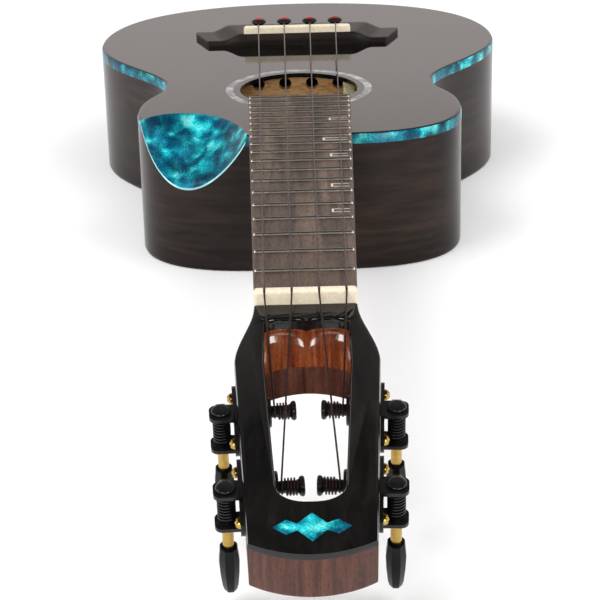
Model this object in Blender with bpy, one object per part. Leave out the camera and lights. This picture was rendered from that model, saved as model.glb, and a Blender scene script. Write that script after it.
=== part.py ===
"""Concert ukulele: slotted head, glued neck, hollow body, four worm-geared tuning machines.

The origin lies on the flat back, on the centre line, under the end of the scale length.
+Y runs from the head to the tail, +Z from the back to the top, in metres.
"""
import math

import bmesh
import bpy
from mathutils import Matrix, Vector

# Fits
GAP = 0.0003
INLAY_DEPTH = 0.001

# Scale, nut and fingerboard
SCALE_LENGTH = 0.380
FRET_COUNT = 19
JOINT_FRET = 14
NUT_WIDTH = 0.0369
NUT_THICKNESS = 0.0036
NUT_ABOVE_FRETS = 0.0012
BOARD_END_WIDTH = 0.0497
BOARD_PAST_LAST_FRET = 0.0048
BOARD_THICKNESS = 0.0054
FRET_HEIGHT = 0.0009
FRET_CROWN = 0.0015
FRET_END_SETBACK = 0.0010

# Body
BODY_LENGTH = 0.270
BODY_DEPTH = 0.067
UPPER_BOUT_WIDTH = 0.1564
UPPER_BOUT_STATION = 0.0433
WAIST_WIDTH = 0.1346
WAIST_STATION = 0.0903
LOWER_BOUT_WIDTH = 0.2150
LOWER_BOUT_STATION = 0.1803
NECK_FLAT_WIDTH = 0.049
PLATE_THICKNESS = 0.0022
RIM_THICKNESS = 0.0020
BINDING_HEIGHT = 0.0050
LINING_WIDTH = 0.0050
LINING_HEIGHT = 0.0062
BLOCK_THICKNESS = 0.016
BLOCK_HALF_WIDTH = 0.023
BRACE_WIDTH = 0.0060
BRACE_HEIGHT = 0.0090
HOLED_BRACE_HEIGHT = 0.0150
SIDE_BRACE_LENGTH = 0.0150
BRACE_HOLE_RADIUS = 0.0033
BRACE_HOLE_SPACING = 0.0140
BRACE_HOLE_DEPTH = 0.0078

# Soundhole and rosette
SOUNDHOLE_STATION = 0.0799
SOUNDHOLE_RADIUS = 0.0295
ROSETTE_INNER = 0.0329
ROSETTE_OUTER = 0.0367

# Bevel of the left upper shoulder
BEVEL_DROP = 0.0265
BEVEL_END_SHARE = 0.80
BEVEL_EDGE = 0.0016
BEVEL_TOP_HANDLES = ((-0.033, 0.0463), (-0.068, 0.0473))

# Bridge
SADDLE_COMPENSATION = 0.0030
SADDLE_LENGTH = 0.0580
SADDLE_THICKNESS = 0.0030
SADDLE_PROTRUSION = 0.0041
SADDLE_SEAT = 0.0020
BRIDGE_LENGTH = 0.1120
BRIDGE_FRONT_LENGTH = 0.0972
BRIDGE_BLOCK_LENGTH = 0.0730
BRIDGE_DEPTH = 0.0240
BRIDGE_HEIGHT = 0.0060
BRIDGE_FRONT_LAND = 0.0015
WING_HEIGHT = 0.0023
WING_SWEEP = 0.0115
WING_SKEW = 0.0070
PIN_SETBACK = 0.0145
PIN_RADIUS = 0.0024
PIN_HEAD_RADIUS = 0.0041
PIN_HEAD_HEIGHT = 0.0050
BRIDGE_PLATE_THICKNESS = 0.0020

# Strings
STRING_COUNT = 4
STRING_RADIUS = 0.000325
NUT_STRING_SPACING = 0.0097
SADDLE_STRING_SPACING = 0.0140
STRING_OVER_FRETS = 0.00085
WINDING_TURNS = 4
WINDING_PITCH = 0.00100
POINTS_PER_TURN = 20

# Neck
NECK_DEPTH = 0.0135
NECK_DEPTH_AT_HEEL = 0.0150
HEEL_DEPTH = 0.0632
HEEL_LENGTH = 0.036

# Head
HEAD_TILT = math.radians(12.0)
VENEER_THICKNESS = 0.0023
HEAD_THICKNESS = 0.0180
HEAD_LENGTH = 0.1316
SHOULDER_WIDTH = 0.0497
SHOULDER_STATION = 0.0335
HEAD_TIP_WIDTH = 0.0391
TIP_ARC_RISE = 0.0058
INLAY_LENGTH = 0.0240
INLAY_HEIGHT = 0.0130
HEAD_WALL = 0.0101
WINDOW_START = 0.0083
WINDOW_END = 0.1070
WINDOW_CORNER = 0.0105
WINDOW_LOBE = 0.0024
WINDOW_RAMP_MID = 0.0090
WINDOW_RAMP_END = 0.0208
WINDOW_RAMP_ARCH = 0.0028

# Tuning machines
UPPER_POST_STATION = 0.0510
POST_SPACING = 0.03935
POST_DEPTH_IN_HEAD = 0.0090
POST_RADIUS = 0.0020
POST_FLARE_RADIUS = 0.0034
POST_REACH = 0.0197
POST_FLARE_LENGTH = 0.0020
BUSHING_RADIUS = 0.0034
BUSHING_FLANGE_RADIUS = 0.0053
BUSHING_FLANGE = 0.0009
MACHINE_PLATE = 0.0011
MACHINE_PLATE_HALF = 0.0042
SCREW_BEHIND_POST = 0.0086
SCREW_AHEAD_OF_POST = 0.0159
SCREW_HEAD_RADIUS = 0.0019
SCREW_HEAD_HEIGHT = 0.0018
SCREW_SHANK_RADIUS = 0.0009
SCREW_SHANK_LENGTH = 0.0060
GEAR_TEETH = 18
WORM_PITCH = 0.0012
WORM_TIP_RADIUS = 0.0030
WORM_ROOT_RADIUS = 0.0020
WORM_PITCH_RADIUS = 0.00255
WORM_OUT = 0.00545
GEAR_WIDTH = 0.0034
GEAR_ADDENDUM = 0.00025
GEAR_DEDENDUM = 0.00062
GEAR_TOOTH_TIP = 0.00016
GEAR_TOOTH_ROOT = 0.00048
GEAR_BORE_RADIUS = 0.0019
UPPER_EAR = 0.0042
LOWER_EAR = 0.0073
EAR_THICKNESS = 0.0013
EAR_REACH = 0.0094
EAR_HALF_WIDTH = 0.0042
CAP_RADIUS = 0.0032
CAP_THICKNESS = 0.0015
SHAFT_RADIUS = 0.00185
UPPER_JOURNAL_RADIUS = 0.0015
BUTTON_BELOW_POST = 0.0175
BUTTON_LENGTH = 0.0182
BUTTON_BORE_DEPTH = 0.0045
GEAR_SCREW_HEAD = 0.0014

# Places that follow from the sizes
NUT_Y = -SCALE_LENGTH
TOP_Z = BODY_DEPTH
BOARD_BASE_Z = TOP_Z + GAP
BOARD_TOP_Z = BOARD_BASE_Z + BOARD_THICKNESS
FRET_TOP_Z = BOARD_TOP_Z + FRET_HEIGHT
HEAD_Y = NUT_Y - NUT_THICKNESS - 2 * GAP
HEAD_ORIGIN_Z = TOP_Z + VENEER_THICKNESS + GAP
CORE_TOP = -VENEER_THICKNESS - GAP
SADDLE_Y = SADDLE_COMPENSATION
BRIDGE_FRONT_Y = SADDLE_Y - SADDLE_THICKNESS / 2 - BRIDGE_FRONT_LAND
BRIDGE_BASE_Z = TOP_Z + GAP
BRIDGE_TOP_Z = BRIDGE_BASE_Z + BRIDGE_HEIGHT
PIN_Y = SADDLE_Y + PIN_SETBACK
PIN_HOLE_RADIUS = PIN_RADIUS + GAP
INNER_WALL = RIM_THICKNESS + GAP
PLATE_UNDERSIDE_Z = TOP_Z - PLATE_THICKNESS
INSIDE_TOP_Z = PLATE_UNDERSIDE_Z - GAP
INSIDE_BACK_Z = PLATE_THICKNESS + GAP
HEAD_TAPER = (SHOULDER_WIDTH - HEAD_TIP_WIDTH) / 2 / (HEAD_LENGTH - TIP_ARC_RISE - SHOULDER_STATION)
HEAD_SIDE_ANGLE = math.atan(HEAD_TAPER)
GEAR_PITCH_RADIUS = GEAR_TEETH * WORM_PITCH / (2 * math.pi)
WORM_FROM_POST = GEAR_PITCH_RADIUS + WORM_PITCH_RADIUS
GEAR_INNER_X = WORM_OUT - GEAR_WIDTH / 2
GEAR_OUTER_X = WORM_OUT + GEAR_WIDTH / 2
ROLLER_STRING_RADIUS = POST_RADIUS + GAP + STRING_RADIUS
LANDING_X = -0.0124
WINDING_START_X = LANDING_X - WINDING_PITCH

BODY_SEGMENTS = (9, 4, 7, 9)
ROUND_SEGMENTS = 36
SMALL_SEGMENTS = 10


# Scene and material helpers

def clear_scene():
    for item in list(bpy.data.objects):
        bpy.data.objects.remove(item, do_unlink=True)


def make_material(name, color, roughness, metallic=0.0):
    made = bpy.data.materials.new(name)
    made.use_nodes = True
    shader = made.node_tree.nodes["Principled BSDF"]
    shader.inputs["Base Color"].default_value = (*color, 1.0)
    shader.inputs["Roughness"].default_value = roughness
    shader.inputs["Metallic"].default_value = metallic
    return made


def add_empty(name, parent=None, matrix=None):
    empty = bpy.data.objects.new(name, None)
    bpy.context.scene.collection.objects.link(empty)
    empty.parent = parent
    if matrix is not None:
        empty.matrix_local = matrix
    return empty


def add_object(name, mesh, material=None, parent=None, matrix=None):
    made = bpy.data.objects.new(name, mesh)
    bpy.context.scene.collection.objects.link(made)
    made.parent = parent
    if matrix is not None:
        made.matrix_local = matrix
    if material is not None:
        made.data.materials.append(material)
    return made


def finish_mesh(name, shape, smooth_angle=30.0):
    bmesh.ops.recalc_face_normals(shape, faces=shape.faces)
    mesh = bpy.data.meshes.new(name)
    shape.to_mesh(mesh)
    shape.free()
    mesh.shade_smooth()
    mesh.set_sharp_from_angle(angle=math.radians(smooth_angle))
    return mesh


def make_piece(name, shape, material, parent=None, matrix=None):
    return add_object(name, finish_mesh(name, shape), material, parent, matrix)


def make_cutter(name, shape, parent=None, matrix=None):
    cutter = add_object(name, finish_mesh(name, shape), None, parent, matrix)
    cutter.hide_render = True
    cutter.display_type = "WIRE"
    return cutter


def combine(target, tool, operation="DIFFERENCE"):
    modifier = target.modifiers.new(operation.lower(), "BOOLEAN")
    modifier.operation = operation
    modifier.solver = "EXACT"
    modifier.object = tool


# Shape helpers

def bezier(start, handle_a, handle_b, end, share):
    rest = 1.0 - share
    return (start * rest ** 3 + handle_a * (3 * rest ** 2 * share)
            + handle_b * (3 * rest * share ** 2) + end * share ** 3)


def add_loft(shape, sections, close_ends=True):
    rings = [[shape.verts.new(point) for point in section] for section in sections]
    count = len(rings[0])
    for lower, upper in zip(rings, rings[1:]):
        for index in range(count):
            following = (index + 1) % count
            shape.faces.new((lower[index], lower[following], upper[following], upper[index]))
    if close_ends:
        shape.faces.new(list(reversed(rings[0])))
        shape.faces.new(rings[-1])
    return rings


def add_prism(shape, outline, low, high):
    sections = [[Vector((x, y, level)) for x, y in outline] for level in (low, high)]
    add_loft(shape, sections)


def add_ring_prism(shape, outer, inner, low, high):
    loops = [[Vector((x, y, low)) for x, y in outer], [Vector((x, y, high)) for x, y in outer],
             [Vector((x, y, high)) for x, y in inner], [Vector((x, y, low)) for x, y in inner]]
    add_closed_rings(shape, loops)


def add_closed_rings(shape, loops):
    rings = [[shape.verts.new(point) for point in loop] for loop in loops]
    count = len(rings[0])
    for index, lower in enumerate(rings):
        upper = rings[(index + 1) % len(rings)]
        for step in range(count):
            following = (step + 1) % count
            shape.faces.new((lower[step], lower[following], upper[following], upper[step]))


def circle_points(radius, count, centre=(0.0, 0.0), phase=0.0):
    angles = [phase + 2 * math.pi * step / count for step in range(count)]
    return [(centre[0] + radius * math.cos(a), centre[1] + radius * math.sin(a)) for a in angles]


def turned_sections(profile, count, matrix, phase=0.0):
    """Circles about the local X axis, one for each (place, radius) of the profile."""
    return [[matrix @ Vector((place, y, z)) for y, z in circle_points(radius, count, phase=phase)]
            for place, radius in profile]


def add_turned(shape, profile, count=SMALL_SEGMENTS, matrix=Matrix()):
    add_loft(shape, turned_sections(profile, count, matrix))


def add_turned_ring(shape, profile, count=SMALL_SEGMENTS, matrix=Matrix()):
    add_closed_rings(shape, turned_sections(profile, count, matrix))


def add_box(shape, low, high, matrix=Matrix()):
    outline = ((low[0], low[1]), (high[0], low[1]), (high[0], high[1]), (low[0], high[1]))
    add_loft(shape, [[matrix @ Vector((x, y, z)) for x, y in outline] for z in (low[2], high[2])])


X_TO_Z = Matrix.Rotation(-math.pi / 2, 4, "Y")


def vertical_axis(x, y):
    """Turns the local X axis of a turned shape to +Z and moves it to x, y."""
    return Matrix.Translation((x, y, 0.0)) @ X_TO_Z


# Places shared by several pieces

def fret_y(number):
    return NUT_Y + SCALE_LENGTH * (1 - 2 ** (-number / 12))


JOINT_Y = fret_y(JOINT_FRET)
BOARD_END_Y = fret_y(FRET_COUNT) + BOARD_PAST_LAST_FRET
TAIL_Y = JOINT_Y + BODY_LENGTH
SOUNDHOLE_Y = JOINT_Y + SOUNDHOLE_STATION


def board_half(y):
    share = (y - NUT_Y) / (BOARD_END_Y - NUT_Y)
    return (NUT_WIDTH + (BOARD_END_WIDTH - NUT_WIDTH) * share) / 2


def shoulder_point(share):
    """A point of the right upper bout, from the neck flat to its widest place."""
    start = Vector((NECK_FLAT_WIDTH / 2, JOINT_Y))
    end = Vector((UPPER_BOUT_WIDTH / 2, JOINT_Y + UPPER_BOUT_STATION))
    return bezier(start, start + Vector((0.0335, 0.0)), end - Vector((0.0, 0.027)), end, share)


def half_outline():
    waist = Vector((WAIST_WIDTH / 2, JOINT_Y + WAIST_STATION))
    upper = Vector((UPPER_BOUT_WIDTH / 2, JOINT_Y + UPPER_BOUT_STATION))
    lower = Vector((LOWER_BOUT_WIDTH / 2, JOINT_Y + LOWER_BOUT_STATION))
    tail = Vector((0.0, TAIL_Y))
    along = Vector((0.0, 1.0))
    across = Vector((1.0, 0.0))
    curves = (
        (upper, upper + along * 0.030, waist - along * 0.017, waist),
        (waist, waist + along * 0.026, lower - along * 0.043, lower),
        (lower, lower + along * 0.058, tail + across * 0.066, tail),
    )
    points = [shoulder_point(step / BODY_SEGMENTS[0]) for step in range(BODY_SEGMENTS[0])]
    for curve, count in zip(curves, BODY_SEGMENTS[1:]):
        points += [bezier(*curve, step / count) for step in range(count)]
    points.append(tail)
    return points


def body_outline(inset=0.0):
    """The closed outline of the body, anticlockwise from the neck flat, moved inward by inset."""
    right = half_outline()
    left = [Vector((-point.x, point.y)) for point in reversed(right[:-1])]
    loop = right + left
    moved = []
    for index, point in enumerate(loop):
        before = (point - loop[index - 1]).normalized()
        after = (loop[(index + 1) % len(loop)] - point).normalized()
        inward = (Vector((-before.y, before.x)) + Vector((-after.y, after.x))).normalized()
        stretch = max(inward.dot(Vector((-after.y, after.x))), 0.5)
        moved.append(tuple(point + inward * (inset / stretch)))
    return moved


def half_width_at(y):
    """Half the width of the body where a brace crosses it."""
    outline = half_outline()
    for first, second in zip(outline, outline[1:]):
        if first.y <= y <= second.y:
            return first.x + (second.x - first.x) * (y - first.y) / (second.y - first.y)
    return outline[0].x


def string_x(index, spacing):
    return (index - (STRING_COUNT - 1) / 2) * spacing


# Bevel of the shoulder

def bevel_share_list(end):
    """Places along the bevel, closer together near its two pointed ends."""
    inner = [0.5 - 0.5 * math.cos(math.pi * (step + 1) / 20) for step in range(19)]
    return [end] + [share for share in inner if end < share < 1 - end] + [1 - end]


def bevel_lines(share):
    """The upper and lower border points, and the level direction from the side towards the top."""
    low_point = shoulder_point(BEVEL_END_SHARE * share)
    low_point = Vector((-low_point.x, low_point.y))
    last = shoulder_point(BEVEL_END_SHARE)
    start = Vector((-NECK_FLAT_WIDTH / 2, JOINT_Y))
    handle_a = Vector((BEVEL_TOP_HANDLES[0][0], JOINT_Y + BEVEL_TOP_HANDLES[0][1]))
    handle_b = Vector((BEVEL_TOP_HANDLES[1][0], JOINT_Y + BEVEL_TOP_HANDLES[1][1]))
    top_point = bezier(start, handle_a, handle_b, Vector((-last.x, last.y)), share)
    drop = BEVEL_DROP * math.sin(math.pi * share ** 0.85) ** 0.9
    inward = (top_point - low_point).normalized()
    upper = Vector((top_point.x, top_point.y, TOP_Z))
    lower = Vector((low_point.x, low_point.y, TOP_Z - drop))
    return upper, lower, Vector((inward.x, inward.y, 0.0))


def bevel_plane(share, gap):
    """The inner face of the panel, moved inward by a gap: its upper and lower points."""
    upper, lower, inward = bevel_lines(share)
    return upper + inward * (BEVEL_EDGE + gap), lower - Vector((0, 0, BEVEL_EDGE + gap)), inward


def bevel_panel(material):
    shape = bmesh.new()
    sections = []
    for share in bevel_share_list(0.014):
        upper, lower, inward = bevel_lines(share)
        inner_upper, inner_lower, inward = bevel_plane(share, 0.0)
        sections.append([upper, lower, inner_lower, inner_upper])
    add_loft(shape, sections)
    return make_piece("bevel_panel", shape, material)


def bevel_cutter():
    shape = bmesh.new()
    reach = 0.012
    outward = 0.015
    sections = []
    for share in bevel_share_list(0.008):
        upper, lower, inward = bevel_plane(share, GAP)
        slope = (upper - lower).normalized()
        top = upper + slope * reach
        bottom = lower - slope * reach
        corner = bottom - inward * outward
        sections.append([top, upper, lower, bottom, corner, Vector((corner.x, corner.y, top.z))])
    add_loft(shape, sections)
    return make_cutter("bevel_cutter", shape)


# Body pieces

def plate_with_outline(name, inset, low, high, material):
    shape = bmesh.new()
    add_prism(shape, body_outline(inset), low, high)
    return make_piece(name, shape, material)


def band(name, outer_inset, inner_inset, low, high, material):
    shape = bmesh.new()
    add_ring_prism(shape, body_outline(outer_inset), body_outline(inner_inset), low, high)
    return make_piece(name, shape, material)


def pin_hole_cutter():
    """Pin holes with a string slot on the saddle side, through bridge, top plate and bridge plate."""
    shape = bmesh.new()
    low = PLATE_UNDERSIDE_Z - 0.008
    high = BRIDGE_TOP_Z + 0.002
    half_slot = STRING_RADIUS + GAP
    front = PIN_RADIUS + 2 * GAP + 2 * STRING_RADIUS + 0.0012
    for index in range(STRING_COUNT):
        x = string_x(index, SADDLE_STRING_SPACING)
        angle = math.asin(half_slot / PIN_HOLE_RADIUS)
        arc = []
        for step in range(SMALL_SEGMENTS + 1):
            turn = -math.pi / 2 + angle + (2 * math.pi - 2 * angle) * step / SMALL_SEGMENTS
            arc.append((x + PIN_HOLE_RADIUS * math.cos(turn), PIN_Y + PIN_HOLE_RADIUS * math.sin(turn)))
        outline = arc + [(x - half_slot, PIN_Y - front), (x + half_slot, PIN_Y - front)]
        add_prism(shape, outline, low, high)
    return make_cutter("pin_hole_cutter", shape)


def make_body(colors):
    bevel = bevel_cutter()
    pins = pin_hole_cutter()
    rim_top = TOP_Z - BINDING_HEIGHT - GAP
    plate_with_outline("back_plate", 0.0, 0.0, PLATE_THICKNESS, colors["side"])
    rim = band("side_rim", 0.0, RIM_THICKNESS, INSIDE_BACK_Z, rim_top, colors["side"])
    combine(rim, bevel)
    binding = band("top_binding", 0.0, RIM_THICKNESS, TOP_Z - BINDING_HEIGHT, TOP_Z, colors["pearl"])
    combine(binding, bevel)

    top = plate_with_outline("top_plate", INNER_WALL, PLATE_UNDERSIDE_Z, TOP_Z, colors["top"])
    combine(top, bevel)
    combine(top, pins)
    hole = bmesh.new()
    hole_outline = circle_points(SOUNDHOLE_RADIUS, ROUND_SEGMENTS, (0.0, SOUNDHOLE_Y))
    add_prism(hole, hole_outline, PLATE_UNDERSIDE_Z - GAP, TOP_Z + GAP)
    combine(top, make_cutter("soundhole_cutter", hole))
    channel = bmesh.new()
    add_ring_prism(channel, circle_points(ROSETTE_OUTER + GAP, ROUND_SEGMENTS, (0.0, SOUNDHOLE_Y)),
                   circle_points(ROSETTE_INNER - GAP, ROUND_SEGMENTS, (0.0, SOUNDHOLE_Y)),
                   TOP_Z - INLAY_DEPTH - GAP, TOP_Z + GAP)
    combine(top, make_cutter("rosette_cutter", channel))
    ring = bmesh.new()
    add_ring_prism(ring, circle_points(ROSETTE_OUTER, ROUND_SEGMENTS, (0.0, SOUNDHOLE_Y)),
                   circle_points(ROSETTE_INNER, ROUND_SEGMENTS, (0.0, SOUNDHOLE_Y)),
                   TOP_Z - INLAY_DEPTH, TOP_Z)
    make_piece("rosette_ring", ring, colors["ring"])

    bevel_panel(colors["pearl"])
    make_linings(colors, bevel)
    make_blocks(colors)
    make_braces(colors, pins)


def make_linings(colors, bevel):
    inner = INNER_WALL + LINING_WIDTH
    top = band("top_lining", INNER_WALL, inner, INSIDE_TOP_Z - LINING_HEIGHT, INSIDE_TOP_Z, colors["lining"])
    combine(top, bevel)
    band("back_lining", INNER_WALL, inner, INSIDE_BACK_Z, INSIDE_BACK_Z + LINING_HEIGHT, colors["lining"])


def make_blocks(colors):
    """End blocks between the linings, shaped to the inside of the rim."""
    low = INSIDE_BACK_Z + LINING_HEIGHT + GAP
    high = INSIDE_TOP_Z - LINING_HEIGHT - GAP
    fit = bmesh.new()
    add_prism(fit, body_outline(INNER_WALL), 0.0, TOP_Z)
    inside = make_cutter("inside_guide", fit)
    for name, near, far in (("neck_block", JOINT_Y, JOINT_Y + INNER_WALL + BLOCK_THICKNESS),
                            ("tail_block", TAIL_Y - INNER_WALL - BLOCK_THICKNESS, TAIL_Y)):
        shape = bmesh.new()
        add_box(shape, (-BLOCK_HALF_WIDTH, near, low), (BLOCK_HALF_WIDTH, far, high))
        combine(make_piece(name, shape, colors["lining"]), inside, "INTERSECT")


def cross_brace(shape, y, low, high):
    """A bar across the body that stops just short of the linings on both sides."""
    narrowest = min(half_width_at(y - BRACE_WIDTH / 2), half_width_at(y + BRACE_WIDTH / 2))
    reach = narrowest - INNER_WALL - LINING_WIDTH - 0.002
    half = BRACE_WIDTH / 2
    add_box(shape, (-reach, y - half, low), (reach, y + half, high))


def make_braces(colors, pins):
    holed_y = SOUNDHOLE_Y + ROSETTE_OUTER + 0.0035
    shape = bmesh.new()
    cross_brace(shape, holed_y, INSIDE_TOP_Z - HOLED_BRACE_HEIGHT, INSIDE_TOP_Z)
    holed = make_piece("holed_brace", shape, colors["brace"])
    holes = bmesh.new()
    for index in range(STRING_COUNT):
        centre = (string_x(index, BRACE_HOLE_SPACING), holed_y - BRACE_WIDTH, TOP_Z - BRACE_HOLE_DEPTH)
        along_y = Matrix.Translation(centre) @ Matrix.Rotation(math.pi / 2, 4, "Z")
        add_turned(holes, ((0.0, BRACE_HOLE_RADIUS), (2 * BRACE_WIDTH, BRACE_HOLE_RADIUS)), 12, along_y)
    combine(holed, make_cutter("brace_hole_cutter", holes))

    near = holed_y - BRACE_WIDTH / 2 - GAP
    inner_x = SOUNDHOLE_RADIUS - 0.0065
    shape = bmesh.new()
    add_box(shape, (inner_x, near - SIDE_BRACE_LENGTH, INSIDE_TOP_Z - BRACE_HEIGHT),
            (inner_x + BRACE_WIDTH, near, INSIDE_TOP_Z))
    make_piece("soundhole_brace", shape, colors["spruce"])

    plate_front = BRIDGE_FRONT_Y - 0.003
    plate_back = BRIDGE_FRONT_Y + BRIDGE_DEPTH + 0.006
    plate_half = BRIDGE_BLOCK_LENGTH / 2 + 0.003
    shape = bmesh.new()
    add_box(shape, (-plate_half, plate_front, INSIDE_TOP_Z - BRIDGE_PLATE_THICKNESS),
            (plate_half, plate_back, INSIDE_TOP_Z))
    combine(make_piece("bridge_plate", shape, colors["lining"]), pins)


# Bridge

def wing_height(distance):
    """Height of the bridge's top: the block, the hollow sweep, then the wing."""
    share = (distance - BRIDGE_BLOCK_LENGTH / 2) / WING_SWEEP
    share = min(max(share, 0.0), 1.0)
    blend = 0.5 + 0.5 * math.cos(math.pi * share)
    return WING_HEIGHT + (BRIDGE_HEIGHT - WING_HEIGHT) * blend


def bridge_section(x):
    """One slice of the bridge. Its sweep starts nearer the middle at the front than at the back."""
    distance = abs(x)
    slant = (distance - BRIDGE_FRONT_LENGTH / 2) / (BRIDGE_LENGTH / 2 - BRIDGE_FRONT_LENGTH / 2)
    slant = min(max(slant, 0.0), 1.0)
    front = BRIDGE_FRONT_Y + (BRIDGE_DEPTH - 0.004) * slant
    back = BRIDGE_FRONT_Y + BRIDGE_DEPTH
    edge = 0.0008
    front_top = BRIDGE_BASE_Z + wing_height(distance + WING_SKEW)
    back_top = BRIDGE_BASE_Z + wing_height(distance)
    outline = ((front, BRIDGE_BASE_Z), (front, front_top - edge), (front + edge, front_top),
               (back - edge, back_top), (back, back_top - edge), (back, BRIDGE_BASE_Z))
    return [Vector((x, y, z)) for y, z in outline]


def make_bridge(colors):
    half_block = BRIDGE_BLOCK_LENGTH / 2
    places = [half_block - WING_SKEW + (WING_SKEW + WING_SWEEP) * step / 7 for step in range(8)]
    places = sorted(places + [BRIDGE_FRONT_LENGTH / 2, BRIDGE_LENGTH / 2])
    places = [-x for x in reversed(places)] + places
    shape = bmesh.new()
    add_loft(shape, [bridge_section(x) for x in places])
    bridge = make_piece("bridge", shape, colors["rosewood"])
    slot = bmesh.new()
    half_length = SADDLE_LENGTH / 2
    half_thick = SADDLE_THICKNESS / 2
    add_box(slot, (-half_length - GAP, SADDLE_Y - half_thick - GAP, BRIDGE_TOP_Z - SADDLE_SEAT - GAP),
            (half_length + GAP, SADDLE_Y + half_thick + GAP, BRIDGE_TOP_Z + 0.002))
    combine(bridge, make_cutter("saddle_slot_cutter", slot))
    combine(bridge, bpy.data.objects["pin_hole_cutter"])

    saddle_top = BRIDGE_TOP_Z + SADDLE_PROTRUSION
    rounding = 0.0009
    outline = ((-half_thick, BRIDGE_TOP_Z - SADDLE_SEAT), (half_thick, BRIDGE_TOP_Z - SADDLE_SEAT),
               (half_thick, saddle_top - rounding), (half_thick - rounding, saddle_top),
               (rounding - half_thick, saddle_top), (-half_thick, saddle_top - rounding))
    shape = bmesh.new()
    sections = []
    for x, trim in ((-half_length, 0.0012), (-half_length + 0.0012, 0.0),
                    (half_length - 0.0012, 0.0), (half_length, 0.0012)):
        sections.append([Vector((x, SADDLE_Y + y, min(z, saddle_top - trim))) for y, z in outline])
    add_loft(shape, sections)
    make_piece("saddle", shape, colors["bone"])

    low = INSIDE_TOP_Z - BRIDGE_PLATE_THICKNESS - 0.003
    profile = ((low, PIN_RADIUS - 0.0004), (BRIDGE_TOP_Z + 0.0014, PIN_RADIUS),
               (BRIDGE_TOP_Z + 0.0024, PIN_HEAD_RADIUS), (BRIDGE_TOP_Z + 0.0034, PIN_HEAD_RADIUS * 0.96),
               (BRIDGE_TOP_Z + 0.0044, PIN_HEAD_RADIUS * 0.72),
               (BRIDGE_TOP_Z + PIN_HEAD_HEIGHT, PIN_HEAD_RADIUS * 0.30))
    for index in range(STRING_COUNT):
        shape = bmesh.new()
        add_turned(shape, profile, SMALL_SEGMENTS,
                   vertical_axis(string_x(index, SADDLE_STRING_SPACING), PIN_Y))
        make_piece("bridge_pin_" + str(index + 1), shape, colors["pin"])


# Fingerboard, frets and nut

def fret_shape():
    """All the frets: low rounded crowns, bevelled at their ends, sunk a little into the board."""
    shape = bmesh.new()
    crown = FRET_CROWN / 2
    sunk = -FRET_HEIGHT / 2
    profile = ((-crown, sunk, 1.0), (crown, sunk, 1.0), (crown, 0.0, 1.0), (crown / 2, FRET_HEIGHT, 1.6),
               (-crown / 2, FRET_HEIGHT, 1.6), (-crown, 0.0, 1.0))
    for number in range(1, FRET_COUNT + 1):
        y = fret_y(number)
        sections = []
        for side in (-1, 1):
            sections.append([Vector((side * (board_half(y) - back * FRET_END_SETBACK), y + dy, BOARD_TOP_Z + dz))
                             for dy, dz, back in profile])
        add_loft(shape, sections)
    return shape


def make_fingerboard(colors):
    end = BOARD_END_Y
    outline = ((-board_half(NUT_Y), NUT_Y), (board_half(NUT_Y), NUT_Y), (board_half(end), end), (-board_half(end), end))
    shape = bmesh.new()
    add_prism(shape, outline, BOARD_BASE_Z, BOARD_TOP_Z)
    board = make_piece("fingerboard", shape, colors["board"])
    combine(board, make_cutter("pressed_frets", fret_shape()), "UNION")


def make_nut(colors):
    front = NUT_Y - GAP
    back = front - NUT_THICKNESS
    top = FRET_TOP_Z + NUT_ABOVE_FRETS
    rounding = 0.0012
    outline = ((back, BOARD_BASE_Z), (front, BOARD_BASE_Z), (front, top - rounding * 0.5),
               (front - rounding * 0.5, top), (back + rounding, top - 0.0002), (back, top - rounding))
    shape = bmesh.new()
    sections = []
    for x, trim in ((-NUT_WIDTH / 2, 0.0016), (-NUT_WIDTH / 2 + 0.0016, 0.0),
                    (NUT_WIDTH / 2 - 0.0016, 0.0), (NUT_WIDTH / 2, 0.0016)):
        sections.append([Vector((x, y, min(z, top - trim))) for y, z in outline])
    add_loft(shape, sections)
    nut = make_piece("nut", shape, colors["bone"])
    slots = bmesh.new()
    half = STRING_RADIUS + GAP
    for index in range(STRING_COUNT):
        x = string_x(index, NUT_STRING_SPACING)
        floor_front = FRET_TOP_Z + STRING_OVER_FRETS - half
        floor_back = floor_front - 0.0012
        profile = ((front + 0.001, floor_front), (front + 0.001, top + 0.001),
                   (back - 0.001, top + 0.001), (back - 0.001, floor_back), (back + 0.0014, floor_front - 0.0003))
        add_loft(slots, [[Vector((x + side * half, y, z)) for y, z in profile] for side in (-1, 1)])
    combine(nut, make_cutter("nut_slot_cutter", slots))


# Neck and head

HEAD_FRAME = Matrix.Translation((0.0, HEAD_Y, HEAD_ORIGIN_Z)) @ Matrix.Rotation(HEAD_TILT, 4, "X")


def head_half(station):
    """Half the width of the head at a distance from the nut towards the tip."""
    if station >= SHOULDER_STATION:
        return SHOULDER_WIDTH / 2 - HEAD_TAPER * (station - SHOULDER_STATION)
    share = station / SHOULDER_STATION
    ease = share * share * (3 - 2 * share)
    return (NUT_WIDTH + (SHOULDER_WIDTH - NUT_WIDTH) * ease) / 2


def head_outline(first):
    """The head's outline from a first station to the curved tip, as (x, y) with the tip at -Y."""
    stations = [first + (SHOULDER_STATION - first) * step / 6 for step in range(7)]
    corner = HEAD_LENGTH - TIP_ARC_RISE
    right = [(head_half(station), station) for station in stations]
    half_tip = head_half(corner)
    radius = (half_tip ** 2 + TIP_ARC_RISE ** 2) / (2 * TIP_ARC_RISE)
    opening = math.asin(half_tip / radius)
    arc = []
    for step in range(11):
        angle = opening * (1 - step / 5)
        arc.append((radius * math.sin(angle), HEAD_LENGTH - radius * (1 - math.cos(angle))))
    left = [(-x, station) for x, station in reversed(right)]
    return [(x, -station) for x, station in right + arc + left]


def window_half(station):
    return head_half(max(station, SHOULDER_STATION)) - HEAD_WALL / math.cos(HEAD_SIDE_ANGLE)


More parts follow.
